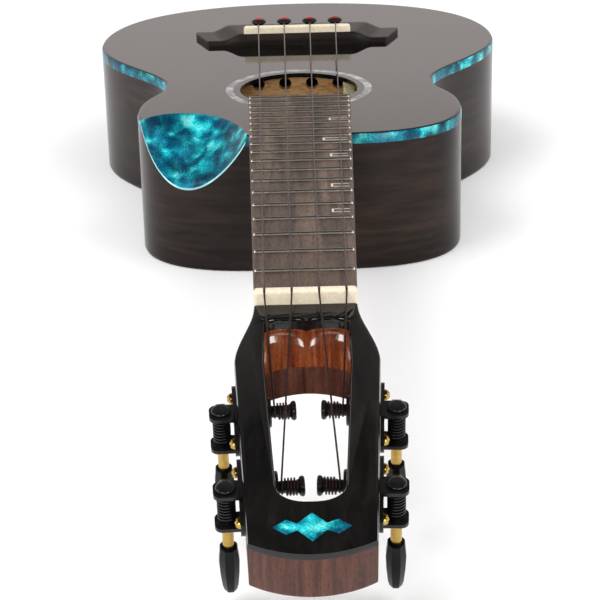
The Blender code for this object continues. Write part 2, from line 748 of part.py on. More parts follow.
def window_outline(start, ramp):
    """The slot's outline: two lobes at the nut end, or one hollow arc lower down the ramp."""
    points = []
    width = window_half(start + WINDOW_LOBE)
    steps = 12
    for step in range(steps + 1):
        share = 1 - 2 * step / steps
        lobes = WINDOW_LOBE * (1 - abs(math.sin(math.pi * share)))
        station = start + lobes * (1 - ramp) + WINDOW_RAMP_ARCH * share * share * ramp
        points.append((-share * width, station))
    points.append((window_half(SHOULDER_STATION), SHOULDER_STATION))
    corner = WINDOW_END - WINDOW_CORNER
    corner_half = window_half(corner)
    for step in range(11):
        angle = math.pi * step / 10
        across = math.copysign(abs(math.cos(angle)) ** 0.8, math.cos(angle))
        points.append((corner_half * across, corner + WINDOW_CORNER * abs(math.sin(angle)) ** 0.8))
    points.append((-window_half(SHOULDER_STATION), SHOULDER_STATION))
    return [(x, -station) for x, station in points]


def window_cutter(parent):
    levels = ((0.003, 0.0, 0.0), (CORE_TOP + GAP / 2, 0.0, 0.0), (-0.0150, WINDOW_RAMP_MID, 0.3),
              (-HEAD_THICKNESS, WINDOW_RAMP_END, 1.0), (-HEAD_THICKNESS - 0.003, WINDOW_RAMP_END, 1.0))
    sections = [[Vector((x, y, level)) for x, y in window_outline(WINDOW_START + shift, ramp)]
                for level, shift, ramp in levels]
    shape = bmesh.new()
    add_loft(shape, sections)
    return make_cutter("window_cutter", shape, parent)


def neck_section(y, half, top, depth, squareness, matrix=Matrix()):
    """Half a rounded section under a flat top; squareness runs from 0, round, to 1, nearly square."""
    power = 1.0 - 0.8 * squareness
    points = []
    for step in range(15):
        angle = math.pi * step / 14
        across = math.copysign(abs(math.cos(angle)) ** power, math.cos(angle))
        points.append(matrix @ Vector((half * across, y, top - depth * abs(math.sin(angle)) ** power)))
    return points


def neck_depth_at(y):
    """Depth of the neck below the fingerboard: slowly deeper, then the curve of the heel."""
    heel_start = JOINT_Y - HEEL_LENGTH
    if y <= heel_start:
        share = (y - NUT_Y) / (heel_start - NUT_Y)
        return NECK_DEPTH + (NECK_DEPTH_AT_HEEL - NECK_DEPTH) * share
    share = (y - heel_start) / HEEL_LENGTH
    return NECK_DEPTH_AT_HEEL + (HEEL_DEPTH - NECK_DEPTH_AT_HEEL) * share ** 2.2


def neck_shape():
    sections = []
    core_depth = HEAD_THICKNESS + CORE_TOP
    for station, squareness in ((0.0130, 0.95), (0.0085, 0.7), (0.0040, 0.35)):
        half = head_half(station) - 0.00005
        sections.append(neck_section(-station, half, CORE_TOP - 0.00005, core_depth - 0.0001,
                                     squareness, HEAD_FRAME))
    heel_end = JOINT_Y - GAP
    heel_start = JOINT_Y - HEEL_LENGTH
    places = [NUT_Y + (heel_start - NUT_Y) * step / 3 for step in range(4)]
    places += [heel_start + (heel_end - heel_start) * step / 7 for step in range(1, 8)]
    for y in places:
        squareness = 0.35 * min(max((y - heel_start) / HEEL_LENGTH, 0.0), 1.0)
        sections.append(neck_section(y, board_half(y), TOP_Z, neck_depth_at(y), squareness))
    shape = bmesh.new()
    add_loft(shape, sections)
    return shape


def make_neck(colors, head):
    neck = make_piece("neck", neck_shape(), colors["mahogany"])
    core = bmesh.new()
    add_prism(core, head_outline(0.011), -HEAD_THICKNESS, CORE_TOP)
    combine(neck, make_cutter("head_core", core, head), "UNION")
    window = window_cutter(head)
    combine(neck, window)

    bores = bmesh.new()
    for machine in machine_list():
        deep = HEAD_WALL + 0.004
        radius = BUSHING_RADIUS + GAP
        add_turned(bores, ((-deep, radius), (0.002, radius)), SMALL_SEGMENTS, machine["frame"])
        for place in screw_places(machine):
            shank = SCREW_SHANK_RADIUS + GAP
            length = SCREW_SHANK_LENGTH + GAP
            add_turned(bores, ((-length, shank), (0.002, shank)), 8, machine["frame"] @ place)
    combine(neck, make_cutter("machine_bore_cutter", bores))

    plate = bmesh.new()
    add_prism(plate, head_outline(GAP), -VENEER_THICKNESS, 0.0)
    veneer = make_piece("head_veneer", plate, colors["top"], head)
    combine(veneer, window)
    pocket = bmesh.new()
    add_inlay(pocket, GAP, -INLAY_DEPTH - GAP, GAP)
    combine(veneer, make_cutter("inlay_cutter", pocket, head))
    inlay = bmesh.new()
    add_inlay(inlay, 0.0, -INLAY_DEPTH, 0.0)
    make_piece("head_inlay", inlay, colors["pearl"], head)


def add_inlay(shape, grow, low, high):
    """A row of three joined lozenges across the head, the middle one the largest."""
    station = -(WINDOW_END + HEAD_LENGTH) / 2
    right = ((0.0, INLAY_HEIGHT / 2), (INLAY_LENGTH * 0.19, INLAY_HEIGHT * 0.12),
             (INLAY_LENGTH * 0.33, INLAY_HEIGHT * 0.26), (INLAY_LENGTH / 2, 0.0))
    upper = list(reversed([(-x, y) for x, y in right[1:]])) + list(right)
    outline = upper + [(x, -y) for x, y in reversed(upper[1:-1])]
    scale_x = 1 + 2 * grow / INLAY_LENGTH
    scale_y = 1 + 4 * grow / INLAY_HEIGHT
    add_prism(shape, [(x * scale_x, station + y * scale_y) for x, y in outline], low, high)


# Tuning machines

def machine_list():
    """The four machines: side +1 is the right of the head, and frame has +X pointing outward."""
    machines = []
    order = ((-1, 0, "upper_left"), (-1, 1, "lower_left"), (1, 1, "lower_right"), (1, 0, "upper_right"))
    for string, (side, row, name) in enumerate(order):
        station = UPPER_POST_STATION + row * POST_SPACING
        centre = Vector((side * head_half(station), -station, -POST_DEPTH_IN_HEAD))
        angle = -HEAD_SIDE_ANGLE if side > 0 else math.pi + HEAD_SIDE_ANGLE
        frame = HEAD_FRAME @ Matrix.Translation(centre) @ Matrix.Rotation(angle, 4, "Z")
        machines.append({"side": side, "name": name, "frame": frame, "string": string})
    return machines


def towards_tip(machine, distance):
    """Local Y of a point at a distance from the post towards the head's tip."""
    return -machine["side"] * distance


def screw_places(machine):
    return [Matrix.Translation((0.0, towards_tip(machine, distance), 0.0))
            for distance in (-SCREW_BEHIND_POST, SCREW_AHEAD_OF_POST)]


def plate_outline(machine):
    """The machine plate seen from outside: round ends, and a wider middle where the ears are bent."""
    points = []
    half = MACHINE_PLATE_HALF
    low = -(LOWER_EAR + EAR_THICKNESS)
    high = UPPER_EAR + EAR_THICKNESS
    near = WORM_FROM_POST - EAR_HALF_WIDTH
    far = WORM_FROM_POST + EAR_HALF_WIDTH
    for step in range(9):
        angle = math.pi / 2 + math.pi * step / 8
        points.append((-SCREW_BEHIND_POST + half * math.cos(angle), half * math.sin(angle)))
    points += [(near, -half), (near, low), (far, low), (far, -half)]
    for step in range(9):
        angle = -math.pi / 2 + math.pi * step / 8
        points.append((SCREW_AHEAD_OF_POST + half * math.cos(angle), half * math.sin(angle)))
    points += [(far, half), (far, high), (near, high), (near, half)]
    return [(towards_tip(machine, distance), z) for distance, z in points]


def ear_outline():
    """One ear seen along the worm: square at the plate, rounded at its outer end."""
    root = GAP + MACHINE_PLATE / 2
    radius = 0.0026
    points = [(root, -EAR_HALF_WIDTH)]
    for start, centre_side in ((-math.pi / 2, -1), (0.0, 1)):
        for step in range(4):
            angle = start + math.pi / 2 * step / 3
            points.append((EAR_REACH - radius + radius * math.cos(angle),
                           centre_side * (EAR_HALF_WIDTH - radius) + radius * math.sin(angle)))
    points.append((root, EAR_HALF_WIDTH))
    return points


def make_machine_plate(machine, colors):
    worm_y = towards_tip(machine, WORM_FROM_POST)
    shape = bmesh.new()
    sections = [[Vector((x, y, z)) for y, z in plate_outline(machine)] for x in (GAP, GAP + MACHINE_PLATE)]
    add_loft(shape, sections)
    plate = make_piece("tuner_plate_" + machine["name"], shape, colors["black"], None, machine["frame"])
    ears = bmesh.new()
    for low in (UPPER_EAR, -LOWER_EAR - EAR_THICKNESS):
        outline = [(x, worm_y + y) for x, y in ear_outline()]
        add_prism(ears, outline, low, low + EAR_THICKNESS)
    head_base = GAP + MACHINE_PLATE / 2
    profile = [(-SCREW_SHANK_LENGTH, SCREW_SHANK_RADIUS), (head_base, SCREW_SHANK_RADIUS)]
    profile += dome_profile(head_base, SCREW_HEAD_RADIUS, SCREW_HEAD_HEIGHT + MACHINE_PLATE / 2)
    for place in screw_places(machine):
        add_turned(ears, profile, 8, place)
    combine(plate, make_cutter("ears_" + machine["name"], ears, None, machine["frame"]), "UNION")
    holes = bmesh.new()
    add_turned(holes, ((-0.001, POST_RADIUS + GAP), (0.003, POST_RADIUS + GAP)))
    worm_axis = Matrix.Translation((WORM_OUT, worm_y, 0.0)) @ X_TO_Z
    add_turned(holes, ((UPPER_EAR - 0.001, UPPER_JOURNAL_RADIUS + GAP),
                       (UPPER_EAR + EAR_THICKNESS + 0.001, UPPER_JOURNAL_RADIUS + GAP)), 10, worm_axis)
    add_turned(holes, ((-LOWER_EAR - EAR_THICKNESS - 0.001, SHAFT_RADIUS + GAP),
                       (-LOWER_EAR + 0.001, SHAFT_RADIUS + GAP)), 10, worm_axis)
    combine(plate, make_cutter("plate_holes_" + machine["name"], holes, None, machine["frame"]))


def add_worm_thread(shape, facing, low, high):
    """A right-hand thread about Z whose groove faces the gear at z = 0."""
    count = 10
    turns = math.ceil((high - low) / WORM_PITCH) + 3
    first = math.floor(low / WORM_PITCH) - 1

    def strand_point(step, offset, radius):
        angle = facing + 2 * math.pi * step / count
        z = WORM_PITCH * (first + offset + step / count)
        fade = min((z - low) / WORM_PITCH, (high - z) / WORM_PITCH, 1.0)
        reach = WORM_ROOT_RADIUS + (radius - WORM_ROOT_RADIUS) * max(fade, 0.0)
        clamped = min(max(z, low), high)
        return shape.verts.new((reach * math.cos(angle), reach * math.sin(angle), clamped))

    total = turns * count
    roots = [strand_point(step, 0.0, WORM_ROOT_RADIUS) for step in range(total + count + 1)]
    tips = [strand_point(step, 0.5, WORM_TIP_RADIUS) for step in range(total + 1)]
    for step in range(total):
        shape.faces.new((roots[step], roots[step + 1], tips[step + 1], tips[step]))
        shape.faces.new((tips[step], tips[step + 1], roots[step + count + 1], roots[step + count]))
    return facing, count


def add_worm_end(shape, profile, facing, count):
    """A turned end that joins the thread's end ring and closes with a flat cap."""
    sections = []
    for z, radius in profile:
        sections.append([Vector((x, y, z)) for x, y in circle_points(radius, count, phase=facing)])
    rings = add_loft(shape, sections, close_ends=False)
    shape.faces.new(rings[-1])


def make_worm(machine, colors, pivot):
    facing = machine["side"] * math.pi / 2
    low = -LOWER_EAR + GAP
    high = UPPER_EAR - GAP
    shape = bmesh.new()
    facing, count = add_worm_thread(shape, facing, low, high)
    cap_low = UPPER_EAR + EAR_THICKNESS + GAP
    cap_high = cap_low + CAP_THICKNESS
    add_worm_end(shape, ((high, WORM_ROOT_RADIUS), (high, UPPER_JOURNAL_RADIUS), (cap_low, UPPER_JOURNAL_RADIUS),
                         (cap_low, CAP_RADIUS), (cap_high - 0.0003, CAP_RADIUS),
                         (cap_high, CAP_RADIUS - 0.0004)), facing, count)
    shaft_end = -BUTTON_BELOW_POST - BUTTON_BORE_DEPTH + GAP
    add_worm_end(shape, ((low, WORM_ROOT_RADIUS), (low, SHAFT_RADIUS), (shaft_end, SHAFT_RADIUS)), facing, count)
    bmesh.ops.remove_doubles(shape, verts=shape.verts, dist=0.000002)
    bmesh.ops.dissolve_degenerate(shape, edges=shape.edges, dist=0.000002)
    make_piece("worm_" + machine["name"], shape, colors["black"], pivot)


def make_button(machine, colors, pivot):
    """A faceted, tapering button with a bore for the shaft."""
    levels = ((0.0, 0.0028, 0.0032), (0.0050, 0.0033, 0.0041), (0.0100, 0.0031, 0.0042),
              (0.0155, 0.0026, 0.0037), (BUTTON_LENGTH, 0.0020, 0.0026))
    chamfer = 0.4
    sections = []
    for down, half_x, half_y in levels:
        z = -BUTTON_BELOW_POST - down
        outline = ((half_x, half_y * chamfer), (half_x * chamfer, half_y), (-half_x * chamfer, half_y),
                   (-half_x, half_y * chamfer), (-half_x, -half_y * chamfer), (-half_x * chamfer, -half_y),
                   (half_x * chamfer, -half_y), (half_x, -half_y * chamfer))
        sections.append([Vector((x, y, z)) for x, y in outline])
    shape = bmesh.new()
    add_loft(shape, sections)
    button = make_piece("button_" + machine["name"], shape, colors["button"], pivot)
    bore = bmesh.new()
    radius = SHAFT_RADIUS + GAP
    add_turned(bore, ((-BUTTON_BELOW_POST - BUTTON_BORE_DEPTH, radius), (-BUTTON_BELOW_POST + 0.002, radius)),
               SMALL_SEGMENTS, X_TO_Z)
    combine(button, make_cutter("button_bore_" + machine["name"], bore, pivot))


def make_post(machine, colors, pivot):
    """Roller with a flared free end, shaft through the bushing, and a drilled stub for the gear."""
    shoulder = GEAR_INNER_X - GAP
    stub_radius = GEAR_BORE_RADIUS - GAP
    stub_end = GEAR_OUTER_X - GAP
    flare = -POST_REACH + POST_FLARE_LENGTH
    hole = SCREW_SHANK_RADIUS + GAP - 0.0001
    profile = ((-POST_REACH, POST_FLARE_RADIUS - 0.0004), (-POST_REACH + 0.0004, POST_FLARE_RADIUS),
               (-POST_REACH + 0.0012, POST_FLARE_RADIUS - 0.0001), (flare, POST_RADIUS), (shoulder, POST_RADIUS),
               (shoulder, stub_radius), (stub_end, stub_radius), (stub_end, hole), (stub_end - 0.0024, hole))
    shape = bmesh.new()
    add_turned(shape, profile)
    make_piece("post_" + machine["name"], shape, colors["black"], pivot)


def make_gear(machine, colors, pivot):
    """A brass gear about X with one tooth pointing at the worm."""
    tip = GEAR_PITCH_RADIUS + GEAR_ADDENDUM
    root = GEAR_PITCH_RADIUS - GEAR_DEDENDUM
    facing = -machine["side"] * math.pi / 2
    outer = []
    for tooth in range(GEAR_TEETH):
        centre = 2 * math.pi * tooth / GEAR_TEETH
        for radius, width in ((root, -GEAR_TOOTH_ROOT), (tip, -GEAR_TOOTH_TIP),
                              (tip, GEAR_TOOTH_TIP), (root, GEAR_TOOTH_ROOT)):
            angle = centre + width / 2 / radius
            outer.append((radius, angle))
    towards_worm = towards_tip(machine, 1.0)
    points = [(radius * math.cos(angle) * towards_worm, radius * math.sin(angle)) for radius, angle in outer]
    shape = bmesh.new()
    add_loft(shape, [[Vector((x, y, z)) for y, z in points] for x in (GEAR_INNER_X, GEAR_OUTER_X)])
    gear = make_piece("gear_" + machine["name"], shape, colors["brass"], pivot)
    bore = bmesh.new()
    add_turned(bore, ((GEAR_INNER_X - 0.001, GEAR_BORE_RADIUS), (GEAR_OUTER_X + 0.001, GEAR_BORE_RADIUS)))
    combine(gear, make_cutter("gear_bore_" + machine["name"], bore, pivot))


def dome_profile(base, radius, height):
    return [(base, radius), (base + height * 0.45, radius * 0.92), (base + height * 0.85, radius * 0.6),
            (base + height, radius * 0.2)]


def make_gear_screw(machine, colors, pivot):
    base = GEAR_OUTER_X + GAP
    shank = SCREW_SHANK_RADIUS - 0.0001
    shape = bmesh.new()
    add_turned(shape, [(GEAR_OUTER_X - 0.0024, shank), (base, shank)] + dome_profile(base, 0.0024, GEAR_SCREW_HEAD), 10)
    make_piece("gear_screw_" + machine["name"], shape, colors["gold"], pivot)


def winding_points():
    """Points of one unbroken helix about the post, from the wall side towards the free end."""
    points = []
    for step in range(WINDING_TURNS * POINTS_PER_TURN + 1):
        angle = math.pi / 2 + 2 * math.pi * step / POINTS_PER_TURN
        points.append(Vector((WINDING_START_X - WINDING_PITCH * step / POINTS_PER_TURN,
                              ROLLER_STRING_RADIUS * math.cos(angle), ROLLER_STRING_RADIUS * math.sin(angle))))
    return points


def least_winding_gap():
    points = winding_points()
    half_turn = POINTS_PER_TURN // 2
    nearest = min((points[a] - points[b]).length for a in range(len(points))
                  for b in range(a + half_turn, len(points)))
    return nearest - 2 * STRING_RADIUS


def add_tube(name, points, radius, resolution, material, parent=None):
    curve = bpy.data.curves.new(name, "CURVE")
    curve.dimensions = "3D"
    curve.bevel_depth = radius
    curve.bevel_resolution = resolution
    curve.use_fill_caps = True
    spline = curve.splines.new("POLY")
    spline.points.add(len(points) - 1)
    for target, point in zip(spline.points, points):
        target.co = (*point, 1.0)
    return add_object(name, curve, material, parent)


def make_bushing(machine, colors):
    wall_face = -HEAD_WALL - GAP
    flange = wall_face - BUSHING_FLANGE
    bore = POST_RADIUS + GAP
    shape = bmesh.new()
    add_turned_ring(shape, ((flange, bore), (flange, BUSHING_FLANGE_RADIUS - 0.0003),
                            (flange + 0.0003, BUSHING_FLANGE_RADIUS), (wall_face, BUSHING_FLANGE_RADIUS),
                            (wall_face, BUSHING_RADIUS), (-GAP, BUSHING_RADIUS), (-GAP, bore)))
    make_piece("bushing_" + machine["name"], shape, colors["black"], None, machine["frame"])


def make_machines(colors):
    for machine in machine_list():
        make_machine_plate(machine, colors)
        make_bushing(machine, colors)
        worm_axis = Matrix.Translation((WORM_OUT, towards_tip(machine, WORM_FROM_POST), 0.0))
        worm_pivot = add_empty("worm_axis_" + machine["name"], None, machine["frame"] @ worm_axis)
        post_pivot = add_empty("post_axis_" + machine["name"], None, machine["frame"])
        make_worm(machine, colors, worm_pivot)
        make_button(machine, colors, worm_pivot)
        make_post(machine, colors, post_pivot)
        make_gear(machine, colors, post_pivot)
        make_gear_screw(machine, colors, post_pivot)
        add_tube("winding_" + machine["name"], winding_points(), STRING_RADIUS, 1, colors["string"], post_pivot)
    print("least gap of a winding to itself, mm:", round(least_winding_gap() * 1000, 3))


# Strings

def string_route(machine):
    """From below the bridge plate, up beside the pin, over saddle and nut, and onto the post."""
    index = machine["string"]
    saddle_x = string_x(index, SADDLE_STRING_SPACING)
    nut_x = string_x(index, NUT_STRING_SPACING)
    beside_pin = PIN_Y - PIN_RADIUS - GAP - STRING_RADIUS
    over_saddle = BRIDGE_TOP_Z + SADDLE_PROTRUSION + GAP + STRING_RADIUS
    over_nut = FRET_TOP_Z + STRING_OVER_FRETS
    half_saddle = SADDLE_THICKNESS / 2
    points = [
        Vector((saddle_x, beside_pin, INSIDE_TOP_Z - BRIDGE_PLATE_THICKNESS - 0.002)),
        Vector((saddle_x, beside_pin, BRIDGE_TOP_Z - 0.0012)),
        Vector((saddle_x, beside_pin - 0.0003, BRIDGE_TOP_Z - 0.0002)),
        Vector((saddle_x, beside_pin - 0.0012, BRIDGE_TOP_Z + 0.0007)),
        Vector((saddle_x, SADDLE_Y + half_saddle + 0.0002, over_saddle - 0.0005)),
        Vector((saddle_x, SADDLE_Y + half_saddle - 0.0010, over_saddle)),
        Vector((saddle_x, SADDLE_Y - half_saddle + 0.0010, over_saddle)),
        Vector((nut_x, NUT_Y - GAP, over_nut)),
        Vector((nut_x, NUT_Y - GAP - NUT_THICKNESS * 0.6, over_nut - 0.0001)),
        Vector((nut_x, HEAD_Y, over_nut - 0.0007)),
    ]
    for degrees in (78, 95, 120, 145, 170, 190):
        angle = math.radians(degrees)
        toward = -ROLLER_STRING_RADIUS * math.cos(angle)
        place = Vector((LANDING_X, towards_tip(machine, toward), ROLLER_STRING_RADIUS * math.sin(angle)))
        points.append(machine["frame"] @ place)
    return points


def make_strings(colors):
    for machine in machine_list():
        name = "string_" + str(machine["string"] + 1)
        add_tube(name, string_route(machine), STRING_RADIUS, 1, colors["string"])


def make_colors():
    return {
        "top": make_material("black_gloss_lacquer", (0.010, 0.010, 0.011), 0.06),
        "side": make_material("dark_stained_side", (0.030, 0.022, 0.020), 0.14),
        "pearl": make_material("teal_pearl", (0.030, 0.230, 0.240), 0.20),
        "ring": make_material("silver_pearl", (0.520, 0.560, 0.560), 0.25),
        "mahogany": make_material("mahogany", (0.170, 0.055, 0.035), 0.30),
        "rosewood": make_material("rosewood", (0.040, 0.022, 0.017), 0.40),
        "board": make_material("ebony_board", (0.016, 0.013, 0.012), 0.45),
        "bone": make_material("bone", (0.780, 0.690, 0.500), 0.35),
        "pin": make_material("black_pin", (0.010, 0.010, 0.010), 0.20),
        "black": make_material("black_chrome", (0.020, 0.020, 0.022), 0.22, 0.6),
        "button": make_material("black_button", (0.008, 0.008, 0.008), 0.15),
        "brass": make_material("brass_gear", (0.620, 0.430, 0.170), 0.30, 1.0),
        "gold": make_material("gold_screw", (0.830, 0.560, 0.180), 0.22, 1.0),
        "string": make_material("string", (0.120, 0.060, 0.050), 0.35),
        "lining": make_material("lining_wood", (0.330, 0.190, 0.100), 0.60),
        "brace": make_material("brace_wood", (0.260, 0.110, 0.050), 0.55),
        "spruce": make_material("spruce", (0.660, 0.480, 0.260), 0.60),
    }


def build():
    clear_scene()
    colors = make_colors()
    head = add_empty("head_frame", None, HEAD_FRAME)
    make_body(colors)
    make_bridge(colors)
    make_fingerboard(colors)
    make_nut(colors)
    make_neck(colors, head)
    make_machines(colors)
    make_strings(colors)
    bpy.context.view_layer.update()


build()
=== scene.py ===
import math

import bmesh
import bpy
from mathutils import Matrix, Vector


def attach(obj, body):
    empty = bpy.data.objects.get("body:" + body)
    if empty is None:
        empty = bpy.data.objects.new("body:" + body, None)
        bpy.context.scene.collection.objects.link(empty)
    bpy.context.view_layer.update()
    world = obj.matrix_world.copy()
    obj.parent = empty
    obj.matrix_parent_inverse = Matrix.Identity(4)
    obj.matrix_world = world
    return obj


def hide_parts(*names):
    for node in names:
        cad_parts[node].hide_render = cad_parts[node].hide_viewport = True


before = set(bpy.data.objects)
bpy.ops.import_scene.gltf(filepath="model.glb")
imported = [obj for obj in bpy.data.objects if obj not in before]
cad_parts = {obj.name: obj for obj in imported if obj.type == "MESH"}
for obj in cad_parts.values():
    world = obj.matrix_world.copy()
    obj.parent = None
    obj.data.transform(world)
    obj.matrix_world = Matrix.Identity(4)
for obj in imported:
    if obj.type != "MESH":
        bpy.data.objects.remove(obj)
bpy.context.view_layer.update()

# Sizes, the same as the solids have
SCALE_LENGTH = 0.380
FRET_COUNT = 19
NUT_WIDTH = 0.0369
NUT_THICKNESS = 0.0036
BOARD_END_WIDTH = 0.0497
BOARD_PAST_LAST_FRET = 0.0048
BOARD_TOP_Z = 0.0727
FRET_HEIGHT = 0.0009
FRET_CROWN = 0.0015
FRET_END_SETBACK = 0.0010
MARKED_FRETS = (5, 7, 10, 12, 15)
BODY_LENGTH = 0.270
TOP_Z = 0.067
UPPER_BOUT = (0.0782, 0.0433)
WAIST = (0.0673, 0.0903)
LOWER_BOUT = (0.1075, 0.1803)
NECK_FLAT_HALF = 0.0245
PLATE = 0.0022
RIM = 0.0020
BINDING_HEIGHT = 0.0050
SOUNDHOLE_RADIUS = 0.0295
ROSETTE = (0.0329, 0.0367)
SEAM = 0.00004
BEVEL_DROP = 0.0265
BEVEL_END_SHARE = 0.80
BEVEL_EDGE = 0.0010
SADDLE_Y = 0.0030
BRIDGE_FRONT_Y = 0.0000
BRIDGE_BASE_Z = 0.0673
BRIDGE_TOP_Z = 0.0733
PIN_Y = 0.0175
HEAD_TILT = math.radians(12.0)
VENEER_THICKNESS = 0.0023
HEAD_THICKNESS = 0.0180
HEAD_LENGTH = 0.1316
SHOULDER_WIDTH = 0.0497
SHOULDER_STATION = 0.0335
HEAD_TIP_WIDTH = 0.0391
TIP_ARC_RISE = 0.0058
HEAD_WALL = 0.0101
WINDOW_START = 0.0083
WINDOW_END = 0.1070
WINDOW_CORNER = 0.0105
WINDOW_LOBE = 0.0022
LACQUER_DEPTH = 0.0045
STRING_RADIUS = 0.000325
WINDING_TURNS = 4
WINDING_PITCH = 0.00100
LANDING_X = -0.0124
POST_RADIUS = 0.0020
ROLLER_STRING_RADIUS = 0.002625
MACHINE_NAMES = ((-1, 0, "upper_left"), (-1, 1, "lower_left"), (1, 1, "lower_right"), (1, 0, "upper_right"))
UPPER_POST_STATION = 0.0510
POST_SPACING = 0.03935
POST_DEPTH_IN_HEAD = 0.0090
SCREW_BEHIND_POST = 0.0086
SCREW_AHEAD_OF_POST = 0.0159
PLATE_HALF = 0.0042
MACHINE_PLATE = 0.0011
GAP = 0.0003
WORM_OUT = 0.00545
WORM_PITCH = 0.0012
WORM_TIP_RADIUS = 0.0030
WORM_ROOT_RADIUS = 0.0020
GEAR_TEETH = 18
GEAR_PITCH_RADIUS = GEAR_TEETH * WORM_PITCH / (2 * math.pi)
WORM_FROM_POST = GEAR_PITCH_RADIUS + 0.00255
GEAR_HALF_WIDTH = 0.0017
UPPER_EAR = 0.0042
LOWER_EAR = 0.0073
EAR_THICKNESS = 0.0013
EAR_REACH = 0.0094
EAR_HALF_WIDTH = 0.0042
BUTTON_BELOW_POST = 0.0175
BUSHING_RADIUS = 0.0036
BORE_RADIUS = 0.0037
SADDLE_SPACING = 0.0140
NUT_SPACING = 0.0097
SADDLE_HALF = 0.0290
SADDLE_HALF_THICK = 0.0015
SADDLE_PROTRUSION = 0.0041
SADDLE_SEAT = 0.002
SADDLE_CROWN = 0.0013
PIN_RADIUS = 0.0024
PIN_HOLE_RADIUS = 0.0027
BRIDGE_DEPTH = 0.024
BRIDGE_END_SKEW = 0.020
BRIDGE_EDGE = 0.0008
BRIDGE_END_START = 0.0486
BRIDGE_END_LENGTH = 0.0074
WING_SKEW = 0.0070
WING_START = 0.0365
WING_SWEEP = 0.0115
WING_TIP_HEIGHT = 0.0023
WING_RISE = 0.0037
NECK_DEPTH = 0.0135
NECK_DEPTH_GAIN = 0.0015
HEEL_DROP = 0.0632 - 0.0150
HEEL_LENGTH = 0.036
NUT_CORNER = 0.0014
NUT_CROWN = 0.0013
INLAY_RISE = 0.00003
FLOOR_REACH = 30.0
FLOOR_Z = -0.00005
FLOOR_FADE = (1.4, 2.2)

NUT_Y = -SCALE_LENGTH
HEAD_Y = NUT_Y - NUT_THICKNESS - 2 * GAP
HEAD_FRAME = (Matrix.Translation((0.0, HEAD_Y, TOP_Z + VENEER_THICKNESS + GAP))
              @ Matrix.Rotation(HEAD_TILT, 4, "X"))
CORE_TOP = -VENEER_THICKNESS
HEAD_TAPER = (SHOULDER_WIDTH - HEAD_TIP_WIDTH) / 2 / (HEAD_LENGTH - TIP_ARC_RISE - SHOULDER_STATION)
HEAD_SIDE_ANGLE = math.atan(HEAD_TAPER)
X_TO_Z = Matrix.Rotation(-math.pi / 2, 4, "Y")
OUTLINE_SEGMENTS = (30, 16, 28, 36)
ROUND = 96
SMALL = 32


# Materials

LOOKS = {}


def grey(level):
    return (level, level, level)


def add_node(tree, kind, inputs, **settings):
    """A new node. An input given as a socket is linked, and any other is set as a value."""
    node = tree.nodes.new("ShaderNode" + kind)
    for setting, value in settings.items():
        setattr(node, setting, value)
    for key, value in inputs.items():
        if isinstance(value, bpy.types.NodeSocket):
            tree.links.new(value, node.inputs[key])
        else:
            node.inputs[key].default_value = value
    return node


def add_math(tree, operation, *values):
    return add_node(tree, "Math", dict(enumerate(values)), operation=operation).outputs["Value"]


def add_mix(tree, share, first, second, blend="MIX"):
    inputs = {0: share, 6: first, 7: second}
    return add_node(tree, "Mix", inputs, data_type="RGBA", blend_type=blend).outputs[2]


def add_ramp(tree, value, stops):
    made = add_node(tree, "ValToRGB", {"Fac": value})
    elements = made.color_ramp.elements
    while len(elements) < len(stops):
        elements.new(0.5)
    for element, (place, color) in zip(elements, stops):
        element.position = place
        element.color = (*color, 1.0)
    return made.outputs["Color"]


class Look:
    """A node material with a few short calls for patterns, colour ramps and bumps."""

    def __init__(self, name, color, roughness, metallic=0.0, coat=0.0, specular=0.5):
        self.material = bpy.data.materials.new(name)
        self.material.use_nodes = True
        self.tree = self.material.node_tree
        self.shader = self.tree.nodes["Principled BSDF"]
        for key, value in (("Base Color", (*color, 1.0)), ("Roughness", roughness), ("Metallic", metallic),
                           ("Specular IOR Level", specular), ("Coat Weight", coat), ("Coat Roughness", 0.03)):
            self.shader.inputs[key].default_value = value
        LOOKS[name] = self.material

    def place(self, stretch=(1.0, 1.0, 1.0)):
        coordinates = add_node(self.tree, "TexCoord", {})
        inputs = {"Vector": coordinates.outputs["Object"], "Scale": stretch}
        return add_node(self.tree, "Mapping", inputs).outputs["Vector"]

    def noise(self, scale, detail=3.0, stretch=(1.0, 1.0, 1.0), distortion=0.0):
        inputs = {"Vector": self.place(stretch), "Scale": scale, "Detail": detail, "Distortion": distortion}
        return add_node(self.tree, "TexNoise", inputs).outputs["Fac"]

    def flakes(self, scale):
        """Cells of random levels whose borders wander."""
        place = self.place()
        wander = add_node(self.tree, "TexNoise", {"Vector": place, "Scale": scale * 0.7})
        inputs = {0: wander.outputs["Color"], 1: grey(0.5), 2: place}
        shift = add_node(self.tree, "VectorMath", inputs, operation="MULTIPLY_ADD")
        cells = add_node(self.tree, "TexVoronoi", {"Vector": shift.outputs["Vector"], "Scale": scale})
        return add_node(self.tree, "SeparateColor", {"Color": cells.outputs["Color"]}).outputs["Red"]

    def ramp(self, value, stops):
        return add_ramp(self.tree, value, stops)

    def scaled(self, value, low, high):
        inputs = {"Value": value, "To Min": low, "To Max": high}
        return add_node(self.tree, "MapRange", inputs).outputs["Result"]

    def color(self, socket):
        self.tree.links.new(socket, self.shader.inputs["Base Color"])

    def shaded(self, share, base, shade):
        self.color(add_mix(self.tree, share, base, shade, "MULTIPLY"))

    def roughness(self, value, low, high):
        self.tree.links.new(self.scaled(value, low, high), self.shader.inputs["Roughness"])

    def bump(self, value, height, strength):
        made = add_node(self.tree, "Bump", {"Height": value, "Distance": height, "Strength": strength})
        self.tree.links.new(made.outputs["Normal"], self.shader.inputs["Normal"])


